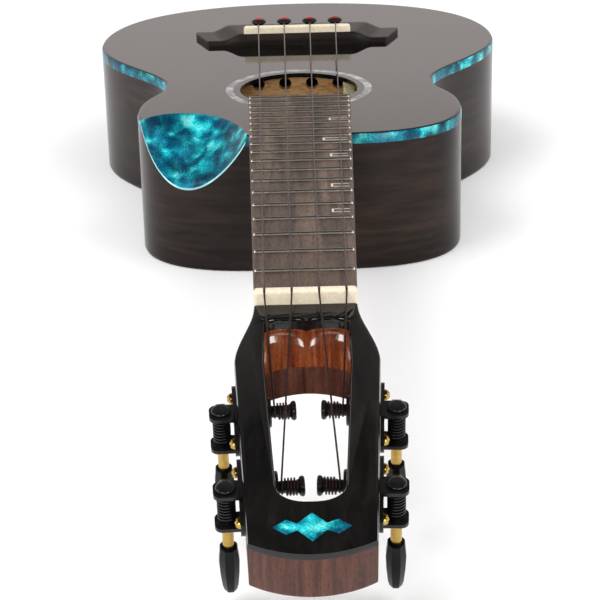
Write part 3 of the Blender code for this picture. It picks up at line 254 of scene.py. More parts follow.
def grain_look(name, dark, mid, light, roughness, direction, fine=1.0, coat=0.0, specular=0.5):
    """Straight-grained wood: long soft streaks, fine lines and short dark pores along the grain."""
    stretch = tuple(0.06 if axis in direction else 1.0 for axis in "XYZ")
    short = tuple(0.16 if axis in direction else 1.0 for axis in "XYZ")
    look = Look(name, mid, roughness, coat=coat, specular=specular)
    streaks = look.ramp(look.noise(190 * fine, 4.0, stretch, 0.6), ((0.30, dark), (0.50, mid), (0.72, light)))
    pores = look.noise(1500 * fine, 2.0, short)
    look.shaded(0.8, streaks, look.ramp(pores, ((0.36, (0.45, 0.42, 0.42)), (0.50, grey(1.0)))))
    look.roughness(pores, roughness + 0.08, roughness - 0.04)
    look.bump(pores, 0.00004, 0.6)


def lacquer_look(name, dark, mid, light, roughness, direction, waviness=0.00001, specular=0.5):
    """Dark stained wood under gloss lacquer, with faint streaks along the grain and a cloudy stain."""
    look = Look(name, mid, roughness, specular=specular)
    stretch = tuple(0.10 if axis in direction else 1.0 for axis in "XYZ")
    base = look.ramp(look.noise(240, 4.0, stretch, 0.8), ((0.32, dark), (0.52, mid), (0.74, light)))
    flame = look.noise(30, 3.0, (0.45, 0.45, 1.0), 1.0)
    look.shaded(0.85, base, look.ramp(flame, ((0.35, grey(0.60)), (0.65, (1.35, 1.22, 1.15)))))
    look.roughness(look.noise(60, 3.0), roughness * 0.8, roughness * 1.25)
    look.bump(look.noise(9, 1.0), waviness, 0.5)


def pearl_look(name, stops, size, roughness):
    """Pearl plastic: soft clouds of several tones over flakes, darker in patches."""
    look = Look(name, stops[1][1], roughness, specular=0.30)
    flakes = look.flakes(0.8 / size)
    clouds = look.noise(0.85 / size, 1.2, distortion=0.35)
    sheet = look.noise(0.45 / size, 2.0, distortion=0.4)
    mixed = add_math(look.tree, "MULTIPLY_ADD", flakes, 0.22, look.scaled(clouds, -0.40, 1.15))
    look.shaded(0.8, look.ramp(mixed, stops), look.ramp(sheet, ((0.40, grey(0.55)), (0.60, grey(1.25)))))
    look.roughness(flakes, roughness * 0.7, roughness * 1.5)
    look.bump(clouds, 0.00002, 0.2)


def plain_look(name, color, roughness, metallic=0.0, spread=0.25, scale=300, height=0.000004, specular=0.5):
    """A nearly even finish with small changes of tone, gloss and surface."""
    look = Look(name, color, roughness, metallic, specular=specular)
    low = tuple(c * (1 - spread) for c in color)
    high = tuple(min(c * (1 + spread), 1.0) for c in color)
    look.color(look.ramp(look.noise(scale, 3.0), ((0.3, low), (0.7, high))))
    look.roughness(look.noise(scale * 2.5, 2.0), roughness * 0.75, roughness * 1.35)
    look.bump(look.noise(scale * 4, 2.0), height, 0.5)


def make_looks():
    teal = ((0.26, (0.0005, 0.050, 0.100)), (0.46, (0.001, 0.120, 0.185)), (0.60, (0.002, 0.240, 0.300)),
            (0.72, (0.010, 0.460, 0.480)), (0.88, (0.200, 0.720, 0.720)))
    silver = ((0.20, (0.200, 0.202, 0.202)), (0.45, (0.280, 0.284, 0.282)), (0.65, (0.340, 0.344, 0.340)),
              (0.90, (0.460, 0.464, 0.458)))
    lacquer_look("top_lacquer", grey(0.004), grey(0.006), (0.010, 0.009, 0.009), 0.045, "Y", 0.000004)
    lacquer_look("side_lacquer", (0.009, 0.0055, 0.0042), (0.018, 0.0115, 0.0088), (0.032, 0.0190, 0.0140),
                 0.16, "XY", specular=0.20)
    plain_look("window_lacquer", grey(0.006), 0.10)
    grain_look("window_wood", (0.100, 0.018, 0.007), (0.210, 0.048, 0.016), (0.330, 0.096, 0.034),
               0.08, "YZ", 3.0, 1.0)
    # Pale teal for the bevel panel's upright faces: a pale line along its lower border, and a painted edge
    # highlight where it covers the panel's end faces.
    plain_look("pale_edge_and_painted_highlight", (0.36, 0.66, 0.74), 0.16, 0.0, 0.35, 90)
    plain_look("marker_pearl", (0.60, 0.58, 0.54), 0.22, 0.0, 0.2, 400)
    pearl_look("teal_pearl", teal, 0.0065, 0.22)
    pearl_look("silver_pearl", silver, 0.0035, 0.22)
    grain_look("mahogany", (0.040, 0.011, 0.007), (0.085, 0.027, 0.016), (0.130, 0.046, 0.027),
               0.36, "YZ", 2.4, specular=0.35)
    grain_look("rosewood", (0.004, 0.003, 0.002), (0.011, 0.007, 0.005), (0.026, 0.015, 0.011),
               0.32, "X", specular=0.22)
    grain_look("board_wood", (0.032, 0.019, 0.012), (0.088, 0.055, 0.037), (0.165, 0.108, 0.076),
               0.42, "Y", specular=0.45)
    grain_look("lining_wood", (0.20, 0.10, 0.05), (0.33, 0.19, 0.10), (0.45, 0.27, 0.15), 0.6, "X")
    grain_look("brace_wood", (0.68, 0.34, 0.12), (0.90, 0.50, 0.20), (0.98, 0.66, 0.32), 0.5, "X")
    grain_look("spruce", (0.84, 0.68, 0.36), (0.94, 0.82, 0.50), (0.98, 0.90, 0.64), 0.55, "Y")
    plain_look("fret_metal", (0.60, 0.56, 0.51), 0.34, 1.0, 0.12, 900)
    # Fret ends: a paler, less metallic copy of the fret metal, a painted highlight on the rounded ends of the
    # frets.
    plain_look("fret_end_painted_highlight", (0.92, 0.90, 0.86), 0.45, 0.4, 0.05, 900)
    plain_look("bone", (0.76, 0.66, 0.50), 0.26, 0.0, 0.07, 500, 0.00001)
    plain_look("black_pin", grey(0.010), 0.28)
    plain_look("pin_dot", (0.45, 0.015, 0.015), 0.30)
    plain_look("black_metal", grey(0.010), 0.18, 0.25)
    plain_look("button_black", grey(0.004), 0.08, specular=0.20)
    plain_look("gear_brass", (0.50, 0.33, 0.11), 0.30, 1.0, 0.2, 700)
    plain_look("gold_metal", (0.55, 0.36, 0.10), 0.22, 1.0, 0.12, 700)
    plain_look("string_nylon", (0.018, 0.006, 0.006), 0.28, 0.0, 0.3, 500)


make_looks()


# Mesh helpers

def limited(value):
    return min(max(value, 0.0), 1.0)


def raised(outline, z, matrix=Matrix()):
    return [matrix @ Vector((x, y, z)) for x, y in outline]


def add_loft(shape, sections, caps=True):
    rings = [[shape.verts.new(point) for point in section] for section in sections]
    count = len(rings[0])
    for lower, upper in zip(rings, rings[1:]):
        for index in range(count):
            following = (index + 1) % count
            shape.faces.new((lower[index], lower[following], upper[following], upper[index]))
    if caps:
        shape.faces.new(list(reversed(rings[0])))
        shape.faces.new(rings[-1])
    return rings


def add_rings(shape, sections):
    """Sections joined in a row, and the last to the first."""
    rings = add_loft(shape, sections, caps=False)
    count = len(rings[0])
    for index in range(count):
        following = (index + 1) % count
        shape.faces.new((rings[-1][index], rings[-1][following], rings[0][following], rings[0][index]))


def add_prism(shape, outline, low, high, matrix=Matrix()):
    add_loft(shape, [raised(outline, z, matrix) for z in (low, high)])


def add_box(shape, low, high):
    outline = ((low[0], low[1]), (high[0], low[1]), (high[0], high[1]), (low[0], high[1]))
    add_prism(shape, outline, low[2], high[2])


def shape_of(build, *arguments):
    shape = bmesh.new()
    build(shape, *arguments)
    return shape


def arc_points(centre, radius, start, end, steps):
    angles = [start + (end - start) * step / steps for step in range(steps + 1)]
    return [(centre[0] + radius * math.cos(a), centre[1] + radius * math.sin(a)) for a in angles]


def circle(radius, count, centre=(0.0, 0.0)):
    return arc_points(centre, radius, 0.0, 2 * math.pi, count)[:-1]


def turned_sections(profile, count, matrix):
    return [[matrix @ Vector((place, y, z)) for y, z in circle(radius, count)] for place, radius in profile]


def add_turned(shape, profile, matrix):
    add_loft(shape, turned_sections(profile, SMALL, matrix))


def rounded(profile, radius):
    """Replaces each inner corner of a turned profile with a short curve."""
    points = [profile[0]]
    for before, corner, after in zip(profile, profile[1:], profile[2:]):
        a, b, c = Vector(before), Vector(corner), Vector(after)
        trim = min(radius, (a - b).length * 0.45, (c - b).length * 0.45)
        if trim < 0.00001:
            points.append(corner)
            continue
        start = b + (a - b).normalized() * trim
        end = b + (c - b).normalized() * trim
        for step in range(4):
            share = step / 3
            points.append(tuple(start * (1 - share) ** 2 + b * (2 * share * (1 - share)) + end * share ** 2))
    points.append(profile[-1])
    return points


def mesh_object(name, shape):
    bmesh.ops.recalc_face_normals(shape, faces=shape.faces)
    mesh = bpy.data.meshes.new(name)
    shape.to_mesh(mesh)
    shape.free()
    made = bpy.data.objects.new(name, mesh)
    bpy.context.scene.collection.objects.link(made)
    return made


def carve(target, tool, operation="DIFFERENCE"):
    """Applies one boolean and keeps the result as the target's mesh."""
    cutter = mesh_object("cutter", tool) if isinstance(tool, bmesh.types.BMesh) else tool
    modifier = target.modifiers.new("carve", "BOOLEAN")
    modifier.operation = operation
    modifier.solver = "EXACT"
    modifier.object = cutter
    graph = bpy.context.evaluated_depsgraph_get()
    result = bpy.data.meshes.new_from_object(target.evaluated_get(graph))
    target.modifiers.clear()
    target.data = result
    if cutter is not tool:
        bpy.data.objects.remove(cutter)
    return target


def loft_object(name, sections, build=add_loft):
    return mesh_object(name, shape_of(build, sections))


def turned_object(name, profile, matrix, count=SMALL):
    return loft_object(name, turned_sections(profile, count, matrix))


def round_edges(piece, width, angle):
    bevel = piece.modifiers.new("edge", "BEVEL")
    bevel.width = width
    bevel.segments = 3
    bevel.limit_method = "ANGLE"
    bevel.angle_limit = math.radians(angle)
    return bevel


def dress(piece, slot, *nodes, body="instrument", edge=0.0, angle=35.0):
    """Material, smooth shading, rounded edges, and the CAD body and nodes it belongs to."""
    piece.data.materials.clear()
    piece.data.materials.append(LOOKS[slot])
    piece.data.shade_smooth()
    piece.data.set_sharp_from_angle(angle=math.radians(angle))
    if edge:
        round_edges(piece, edge, angle).harden_normals = True
    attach(piece, body)
    if nodes:
        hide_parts(*nodes)
    return piece


def paint(piece, slot, chosen):
    """Gives a further material to the faces that the test picks."""
    piece.data.materials.append(LOOKS[slot])
    index = len(piece.data.materials) - 1
    for face in piece.data.polygons:
        if chosen(face):
            face.material_index = index


def bezier(start, handle_a, handle_b, end, share):
    rest = 1.0 - share
    return (start * rest ** 3 + handle_a * (3 * rest ** 2 * share)
            + handle_b * (3 * rest * share ** 2) + end * share ** 3)


# Body

def fret_y(number):
    return NUT_Y + SCALE_LENGTH * (1 - 2 ** (-number / 12))


JOINT_Y = fret_y(14)
TAIL_Y = JOINT_Y + BODY_LENGTH
SOUNDHOLE_Y = JOINT_Y + 0.0799
BOARD_END_Y = fret_y(FRET_COUNT) + BOARD_PAST_LAST_FRET


def board_half(y):
    share = (y - NUT_Y) / (BOARD_END_Y - NUT_Y)
    return (NUT_WIDTH + (BOARD_END_WIDTH - NUT_WIDTH) * share) / 2


def shoulder_point(share):
    start = Vector((NECK_FLAT_HALF, JOINT_Y))
    end = Vector((UPPER_BOUT[0], JOINT_Y + UPPER_BOUT[1]))
    return bezier(start, start + Vector((0.0335, 0.0)), end - Vector((0.0, 0.027)), end, share)


def half_outline():
    upper, waist, lower = (Vector((x, JOINT_Y + y)) for x, y in (UPPER_BOUT, WAIST, LOWER_BOUT))
    tail = Vector((0.0, TAIL_Y))
    along = Vector((0.0, 1.0))
    across = Vector((1.0, 0.0))
    curves = ((upper, upper + along * 0.030, waist - along * 0.017, waist),
              (waist, waist + along * 0.026, lower - along * 0.043, lower),
              (lower, lower + along * 0.058, tail + across * 0.066, tail))
    points = [shoulder_point(step / OUTLINE_SEGMENTS[0]) for step in range(OUTLINE_SEGMENTS[0])]
    for curve, count in zip(curves, OUTLINE_SEGMENTS[1:]):
        points += [bezier(*curve, step / count) for step in range(count)]
    points.append(tail)
    return points


def body_outline(inset=0.0):
    right = half_outline()
    loop = right + [Vector((-point.x, point.y)) for point in reversed(right[:-1])]
    moved = []
    for index, point in enumerate(loop):
        before = (point - loop[index - 1]).normalized()
        after = (loop[(index + 1) % len(loop)] - point).normalized()
        inward = (Vector((-before.y, before.x)) + Vector((-after.y, after.x))).normalized()
        stretch = max(inward.dot(Vector((-after.y, after.x))), 0.5)
        moved.append(tuple(point + inward * (inset / stretch)))
    return moved


def outline_loops(profile):
    """Closed loops round the body, one for each (inset, height)."""
    return [raised(body_outline(inset), z) for inset, z in profile]


def soundhole_loops(profile):
    """Closed loops round the soundhole, one for each (radius, height)."""
    return [raised(circle(radius, ROUND, (0.0, SOUNDHOLE_Y)), z) for radius, z in profile]


def bevel_shares(end):
    inner = [0.5 - 0.5 * math.cos(math.pi * step / 60) for step in range(1, 60)]
    return [end] + [share for share in inner if end < share < 1 - end] + [1 - end]


def bevel_lines(share):
    low_point = shoulder_point(BEVEL_END_SHARE * share)
    low_point = Vector((-low_point.x, low_point.y))
    last = shoulder_point(BEVEL_END_SHARE)
    start = Vector((-NECK_FLAT_HALF, JOINT_Y))
    top_point = bezier(start, Vector((-0.033, JOINT_Y + 0.0463)), Vector((-0.068, JOINT_Y + 0.0473)),
                       Vector((-last.x, last.y)), share)
    drop = BEVEL_DROP * math.sin(math.pi * share ** 0.85) ** 0.9
    inward = (top_point - low_point).normalized()
    upper = Vector((top_point.x, top_point.y, TOP_Z))
    lower = Vector((low_point.x, low_point.y, TOP_Z - drop))
    return upper, lower, Vector((inward.x, inward.y, 0.0))


def bevel_cutter():
    sections = []
    for share in bevel_shares(0.008):
        upper, lower, inward = bevel_lines(share)
        upper = upper + inward * (BEVEL_EDGE + SEAM)
        lower = lower - Vector((0, 0, BEVEL_EDGE + SEAM))
        slope = (upper - lower).normalized()
        top = upper + slope * 0.012
        bottom = lower - slope * 0.012
        corner = bottom - inward * 0.015
        sections.append([top, upper, lower, bottom, corner, Vector((corner.x, corner.y, top.z))])
    return loft_object("bevel_cutter", sections)


def bevel_panel():
    """The panel's face bulges a little between its two borders, and its edges are eased."""
    sections = []
    for share in bevel_shares(0.012):
        upper, lower, inward = bevel_lines(share)
        face = (lower - upper).cross(Vector((0, 0, 1)).cross(inward)).normalized()
        if face.dot(inward) > 0:
            face = -face
        length = (upper - lower).length
        ring = []
        for step in range(9):
            along = step / 8
            bulge = 0.05 * length * math.sin(math.pi * along) * min(1.0, length / 0.02)
            ring.append(upper.lerp(lower, along) + face * bulge * 0.35)
        ring += [lower - Vector((0, 0, BEVEL_EDGE)), upper + inward * BEVEL_EDGE]
        sections.append(ring)
    return loft_object("bevel_panel_pearl", sections)


def make_body():
    bevel = bevel_cutter()
    loops = outline_loops([(0.0012, 0.0), (0.00035, 0.00035), (0.0, 0.0012), (0.0, PLATE)])
    dress(loft_object("back_board", loops), "side_lacquer", "back_plate")

    rim_top = TOP_Z - BINDING_HEIGHT
    loops = outline_loops([(0.0, PLATE), (0.0, rim_top), (RIM, rim_top), (RIM, PLATE)])
    rim = carve(loft_object("side_wood", loops, add_rings), bevel)
    dress(rim, "side_lacquer", "side_rim")

    loops = outline_loops([(0.0, rim_top), (0.0, TOP_Z - 0.0009), (0.0003, TOP_Z - 0.0003),
                           (0.0009, TOP_Z), (RIM, TOP_Z), (RIM, rim_top)])
    binding = carve(loft_object("pearl_binding", loops, add_rings), bevel)
    dress(binding, "teal_pearl", "top_binding")
    paint(binding, "top_lacquer", lambda face: face.normal.z > 0.8)

    top = mesh_object("black_top", shape_of(add_prism, body_outline(RIM), TOP_Z - PLATE, TOP_Z))
    carve(top, bevel)
    hole = circle(SOUNDHOLE_RADIUS, ROUND, (0.0, SOUNDHOLE_Y))
    carve(top, shape_of(add_prism, hole, TOP_Z - 0.01, TOP_Z + 0.01))
    inner, outer = ROSETTE
    low = TOP_Z - 0.001
    high = TOP_Z + 0.001
    loops = soundhole_loops([(outer + SEAM, low), (outer + SEAM, high),
                             (inner - SEAM, high), (inner - SEAM, low)])
    carve(top, shape_of(add_rings, loops))
    dress(top, "top_lacquer", "top_plate")
    paint(top, "spruce", lambda face: face.normal.z < -0.5)

    loops = soundhole_loops([(outer, low), (outer, TOP_Z), (inner, TOP_Z), (inner, low)])
    dress(loft_object("rosette_pearl", loops, add_rings), "silver_pearl", "rosette_ring")
    panel = dress(bevel_panel(), "teal_pearl", "bevel_panel", angle=50)
    # Upright faces of the panel turn pale: a line along the lower border, and a painted edge highlight on the
    # end faces.
    paint(panel, "pale_edge_and_painted_highlight", lambda face: abs(face.normal.z) < 0.25)
    bpy.data.objects.remove(bevel)


# Bridge

SADDLE_XS = [(index - 1.5) * SADDLE_SPACING for index in range(4)]
NUT_XS = [(index - 1.5) * NUT_SPACING for index in range(4)]


def smooth_step(value):
    value = limited(value)
    return value * value * (3 - 2 * value)


def wing_height(distance):
    share = limited((distance - WING_START) / WING_SWEEP)
    return WING_TIP_HEIGHT + WING_RISE * (0.5 + 0.5 * math.cos(math.pi * share))


def bridge_section(x):
    """One slice of the bridge. Its hollow sweep starts nearer the middle at the front than at the back."""
    distance = abs(x)
    front = BRIDGE_FRONT_Y + BRIDGE_END_SKEW * limited((distance - BRIDGE_END_START) / BRIDGE_END_LENGTH)
    back = BRIDGE_FRONT_Y + BRIDGE_DEPTH
    edge = BRIDGE_EDGE
    front_top = BRIDGE_BASE_Z + wing_height(distance + WING_SKEW)
    back_top = BRIDGE_BASE_Z + wing_height(distance)
    outline = [(front, TOP_Z), (front, front_top - edge), (front + edge * 0.3, front_top - edge * 0.3)]
    for step in range(9):
        along = step / 8
        outline.append((front + edge + (back - front - 2 * edge) * along,
                        BRIDGE_BASE_Z + wing_height(distance + WING_SKEW * (1 - along))))
    outline += [(back - edge * 0.3, back_top - edge * 0.3), (back, back_top - edge), (back, TOP_Z)]
    return [Vector((x, y, z)) for y, z in outline]


def make_bridge():
    places = [0.0294 + 0.0007 * step for step in range(28)]
    places += [0.0495 + 0.0009 * step for step in range(7)] + [0.0560]
    places = [-x for x in reversed(places)] + places
    bridge = loft_object("rosewood_bridge", [bridge_section(x) for x in places])
    slot_half = SADDLE_HALF + 0.0001
    slot_thick = SADDLE_HALF_THICK + 0.0001
    carve(bridge, shape_of(add_box, (-slot_half, SADDLE_Y - slot_thick, BRIDGE_TOP_Z - SADDLE_SEAT),
                           (slot_half, SADDLE_Y + slot_thick, BRIDGE_TOP_Z + 0.002)))
    holes = bmesh.new()
    slots = bmesh.new()
    for x in SADDLE_XS:
        add_prism(holes, circle(PIN_HOLE_RADIUS, SMALL, (x, PIN_Y)), TOP_Z - 0.004, BRIDGE_TOP_Z + 0.002)
        add_box(slots, (x - 0.0006, PIN_Y - 0.0048, TOP_Z - 0.003),
                (x + 0.0006, PIN_Y - 0.001, BRIDGE_TOP_Z + 0.001))
    carve(bridge, holes)
    carve(bridge, slots)
    dress(bridge, "rosewood", "bridge", angle=40)

    top = BRIDGE_TOP_Z + SADDLE_PROTRUSION
    seat = BRIDGE_TOP_Z - SADDLE_SEAT
    outline = [(-SADDLE_HALF_THICK, seat), (SADDLE_HALF_THICK, seat)]
    outline += [(SADDLE_HALF_THICK * math.cos(a), top - SADDLE_CROWN + SADDLE_CROWN * math.sin(a))
                for a in (math.pi * step / 10 for step in range(11))]
    right = ((0.0278, 0.0), (0.0287, 0.0006), (SADDLE_HALF, 0.0014))
    ends = [(-x, trim) for x, trim in reversed(right)] + list(right)
    sections = [[Vector((x, SADDLE_Y + y, min(z, top - trim))) for y, z in outline] for x, trim in ends]
    dress(loft_object("bone_saddle", sections), "bone", "saddle")

    heights = ((0.0012, PIN_RADIUS), (0.0018, 0.0030), (0.0024, 0.0041), (0.0034, 0.0040), (0.0042, 0.0029),
               (0.0045, 0.0010))
    profile = [(TOP_Z - 0.0073, 0.0020)] + [(BRIDGE_TOP_Z + height, radius) for height, radius in heights]
    dot = [(BRIDGE_TOP_Z + height, radius)
           for height, radius in ((0.0038, 0.0019), (0.0046, 0.0017), (0.0049, 0.0011), (0.0050, 0.0004))]
    for number, x in enumerate(SADDLE_XS, 1):
        upright = Matrix.Translation((x, PIN_Y, 0.0)) @ X_TO_Z
        pin = turned_object("pin_" + str(number), rounded(profile, 0.0005), upright)
        dress(pin, "black_pin", "bridge_pin_" + str(number))
        dress(turned_object("pin_dot_" + str(number), rounded(dot, 0.0002), upright), "pin_dot")


# Fingerboard, frets and nut

def fret_sections(number):
    """Slices across one fret, from end to end, low at both ends."""
    y = fret_y(number)
    half = board_half(y) - FRET_END_SETBACK * 0.6
    half_crown = FRET_CROWN / 2
    base = BOARD_TOP_Z - 0.0004
    sections = []
    for place, rise in ((-1.0, 0.25), (-0.975, 0.85), (-0.94, 1.0), (0.94, 1.0), (0.975, 0.85), (1.0, 0.25)):
        section = []
        for step in range(9):
            angle = math.pi * step / 8
            section.append((y - half_crown * math.cos(angle),
                            BOARD_TOP_Z + FRET_HEIGHT * rise * math.sin(angle)))
        section += [(y + half_crown, base), (y - half_crown, base)]
        sections.append([Vector((place * half, *point)) for point in section])
    return sections


def make_board():
    edge = 0.0004
    sections = []
    for y in (NUT_Y, BOARD_END_Y):
        half = board_half(y)
        outline = ((-half, TOP_Z), (half, TOP_Z), (half, BOARD_TOP_Z - edge), (half - edge, BOARD_TOP_Z),
                   (edge - half, BOARD_TOP_Z), (-half, BOARD_TOP_Z - edge))
        sections.append([Vector((x, y, z)) for x, z in outline])
    dress(loft_object("board", sections), "board_wood", "fingerboard")

    shape = bmesh.new()
    for number in range(1, FRET_COUNT + 1):
        add_loft(shape, fret_sections(number))
    frets = dress(mesh_object("frets", shape), "fret_metal", angle=60)
    # The outer ends of each fret take the paler copy of the fret metal: a painted highlight on the fret ends.
    paint(frets, "fret_end_painted_highlight", lambda face: abs(face.center.x) > board_half(face.center.y) * 0.945)

    shape = bmesh.new()
    for number in MARKED_FRETS:
        middle = (fret_y(number - 1) + fret_y(number)) / 2
        inner = board_half(middle) * (0.43 if number == 12 else 0.56)
        outer = board_half(middle) * 0.91
        half = 0.0020
        bars = [(inner + 0.0009, middle - half, outer, middle - half + 0.0005),
                (inner + 0.0009, middle + half - 0.0005, outer, middle + half),
                (inner, middle - half, inner + 0.0009, middle + half)]
        for x0, y0, x1, y1 in bars:
            add_box(shape, (x0, y0, BOARD_TOP_Z - 0.0005), (x1, y1, BOARD_TOP_Z + INLAY_RISE))
    markers = dress(mesh_object("fret_markers", shape), "silver_pearl")
    markers.data.materials[0] = LOOKS["marker_pearl"]


def make_nut():
    """A bone nut with an eased front edge, rounded ends and one slot for each string."""
    back = NUT_Y - GAP
    front = back - NUT_THICKNESS
    top = BOARD_TOP_Z + FRET_HEIGHT + 0.0012
    low = TOP_Z + GAP
    quarter = [math.pi / 2 * step / 6 for step in range(7)]
    ends = [(NUT_WIDTH / 2 - NUT_CORNER * (1 - math.sin(a)), NUT_CORNER * (1 - math.cos(a))) for a in quarter]
    sections = []
    for side, places in ((-1, reversed(ends)), (1, ends)):
        for x, trim in places:
            face = front + trim * 0.5
            crown = top - trim
            outline = [(face, low)]
            outline += [(face + NUT_CROWN * (1 - math.cos(a)), crown - NUT_CROWN * (1 - math.sin(a)))
                        for a in quarter]
            outline += [(back - 0.0004, crown), (back - 0.0001, crown - 0.0001), (back, crown - 0.0004)]
            outline.append((back, low))
            sections.append([Vector((side * x, y, z)) for y, z in outline])
    nut = loft_object("bone_nut", sections)
    slots = bmesh.new()
    for x in NUT_XS:
        add_box(slots, (x - 0.00045, front - 0.001, top - 0.0008), (x + 0.00045, back + 0.001, top + 0.001))
    carve(nut, slots)
    dress(nut, "bone", "nut", angle=40)


# Neck and head

def head_half(station):
    if station >= SHOULDER_STATION:
        return SHOULDER_WIDTH / 2 - HEAD_TAPER * (station - SHOULDER_STATION)
    return (NUT_WIDTH + (SHOULDER_WIDTH - NUT_WIDTH) * smooth_step(station / SHOULDER_STATION)) / 2


def head_outline(first, inset):
    stations = [first + (SHOULDER_STATION - first) * step / 20 for step in range(21)]
    corner = HEAD_LENGTH - TIP_ARC_RISE
    right = [(head_half(station) - inset, station) for station in stations]
    half_tip = head_half(corner)
    radius = (half_tip ** 2 + TIP_ARC_RISE ** 2) / (2 * TIP_ARC_RISE)
    opening = math.asin(half_tip / radius)
    arc = []
    for step in range(21):
        angle = opening * (1 - 2 * step / 20)
        x = radius * math.sin(angle)
        x = math.copysign(max(abs(x) - inset * abs(x) / half_tip, 0.0), x)
        arc.append((x, HEAD_LENGTH - radius * (1 - math.cos(angle)) - inset))
    left = [(-x, station) for x, station in reversed(right)]
    return [(x, -station) for x, station in right + arc + left]


def window_half(station):
    return head_half(max(station, SHOULDER_STATION)) - HEAD_WALL / math.cos(HEAD_SIDE_ANGLE)


def window_outline(start, lobe, arch, grow):
    """The nut end has two flat lobes with a cusp between them; the far end is round."""
    points = []
    width = window_half(start + WINDOW_LOBE) + grow
    steps = 72
    for step in range(steps + 1):
        share = 1 - 2 * step / steps
        lobes = WINDOW_LOBE * (1 - abs(math.sin(math.pi * share)) ** 0.5)
        points.append((-share * width, start + lobes * lobe + arch * share * share - grow))
    shoulder = window_half(SHOULDER_STATION) + grow
    points.append((shoulder, SHOULDER_STATION))
    corner = WINDOW_END - WINDOW_CORNER
    corner_half = window_half(corner) + grow
    for step in range(25):
        angle = math.pi * step / 24
        across = math.copysign(abs(math.cos(angle)) ** 0.8, math.cos(angle))
        points.append((corner_half * across, corner + (WINDOW_CORNER + grow) * abs(math.sin(angle)) ** 0.8))
    points.append((-shoulder, SHOULDER_STATION))
    return [(x, -station) for x, station in points]


def window_cutter():
    """Levels give height, shift towards the tip, lobe share, arch and the eased upper edge."""
    levels = [(0.003, 0.0, 1.0, 0.0, 0.0008), (0.0, 0.0, 1.0, 0.0, 0.0006), (-0.0003, 0.0, 1.0, 0.0, 0.0002),
              (-0.0007, 0.0, 1.0, 0.0, 0.0), (CORE_TOP, 0.0, 1.0, 0.0, 0.0),
              (-LACQUER_DEPTH, 0.0003, 1.0, 0.0, 0.0), (-0.0070, 0.0010, 0.9, 0.0002, 0.0),
              (-0.0100, 0.0028, 0.8, 0.0008, 0.0), (-0.0125, 0.0052, 0.6, 0.0020, 0.0),
              (-0.0150, 0.0084, 0.4, 0.0036, 0.0), (-HEAD_THICKNESS, 0.0205, 0.0, 0.0044, 0.0),
              (-HEAD_THICKNESS - 0.003, 0.0205, 0.0, 0.0044, 0.0)]
    sections = [raised(window_outline(WINDOW_START + shift, lobe, arch, grow), level, HEAD_FRAME)
                for level, shift, lobe, arch, grow in levels]
    return loft_object("window_cutter", sections)


def head_sections(first, levels):
    return [raised(head_outline(first, inset), z, HEAD_FRAME) for inset, z in levels]


def neck_section(y, half, top, depth, squareness, matrix=Matrix()):
    power = 1.0 - 0.8 * squareness
    points = []
    for step in range(33):
        angle = math.pi * step / 32
        across = math.copysign(abs(math.cos(angle)) ** power, math.cos(angle))
        points.append(matrix @ Vector((half * across, y, top - depth * abs(math.sin(angle)) ** power)))
    return points


def paint_window(neck):
    """The upper part of the window's wall has black lacquer, and the part below it shows the wood."""
    neck.data.materials.append(LOOKS["window_lacquer"])
    neck.data.materials.append(LOOKS["window_wood"])
    to_head = HEAD_FRAME.inverted()
    turn_only = to_head.to_3x3()
    for face in neck.data.polygons:
        place = to_head @ face.center
        direction = turn_only @ face.normal
        station = -place.y
        between_ends = WINDOW_START - 0.001 < station < WINDOW_END + 0.001
        in_window = between_ends and abs(place.x) < window_half(station) + 0.0008
        if in_window and abs(direction.z) < 0.9 and place.z > -0.0151:
            face.material_index = 1 if place.z > -LACQUER_DEPTH else 2


def make_neck():
    heel_start = JOINT_Y - HEEL_LENGTH
    sections = []
    core_depth = HEAD_THICKNESS + CORE_TOP
    for station, squareness in ((0.0130, 0.95), (0.0105, 0.85), (0.0085, 0.7), (0.0060, 0.5), (0.0040, 0.35)):
        sections.append(neck_section(-station, head_half(station) - 0.00005, CORE_TOP - 0.00005,
                                     core_depth - 0.0001, squareness, HEAD_FRAME))
    places = [NUT_Y + (heel_start - NUT_Y) * step / 8 for step in range(9)]
    places += [heel_start + HEEL_LENGTH * step / 20 for step in range(1, 21)]
    for y in places:
        heel = limited((y - heel_start) / HEEL_LENGTH)
        depth = NECK_DEPTH + NECK_DEPTH_GAIN * min((y - NUT_Y) / (heel_start - NUT_Y), 1.0)
        depth += HEEL_DROP * heel ** 2.2
        sections.append(neck_section(y, board_half(y), TOP_Z, depth, 0.35 * heel))
    neck = loft_object("mahogany_neck", sections)
    levels = [(0.0016, -HEAD_THICKNESS), (0.0008, 0.0002 - HEAD_THICKNESS), (0.0002, 0.0008 - HEAD_THICKNESS),
              (0.0, 0.0016 - HEAD_THICKNESS), (0.0, CORE_TOP)]
    carve(neck, shape_of(add_loft, head_sections(0.011, levels)), "UNION")
    window = window_cutter()
    carve(neck, window)
    bores = bmesh.new()
    for machine in MACHINES:
        add_turned(bores, ((-0.013, BORE_RADIUS), (0.002, BORE_RADIUS)), machine["frame"])
    carve(neck, bores)
    dress(neck, "mahogany", "neck", angle=32)
    paint_window(neck)

    levels = [(0.0, -VENEER_THICKNESS), (0.0, -0.0010), (0.0003, -0.0003), (0.0010, 0.0)]
    veneer = carve(loft_object("head_face", head_sections(0.0001, levels)), window)
    dress(veneer, "top_lacquer", "head_veneer", angle=32)
    bpy.data.objects.remove(window)

    station = -(WINDOW_END + HEAD_LENGTH) / 2
    right = ((0.0, 0.0065), (0.00456, 0.00156), (0.00792, 0.00338), (0.0120, 0.0))
    upper = [(-x, y) for x, y in reversed(right[1:])] + list(right)
    outline = [(x, station + y) for x, y in upper + [(x, -y) for x, y in reversed(upper[1:-1])]]
    inlay = mesh_object("inlay_pearl", shape_of(add_prism, outline, -0.0005, INLAY_RISE, HEAD_FRAME))
    dress(inlay, "teal_pearl", "head_inlay")


# Tuning machines

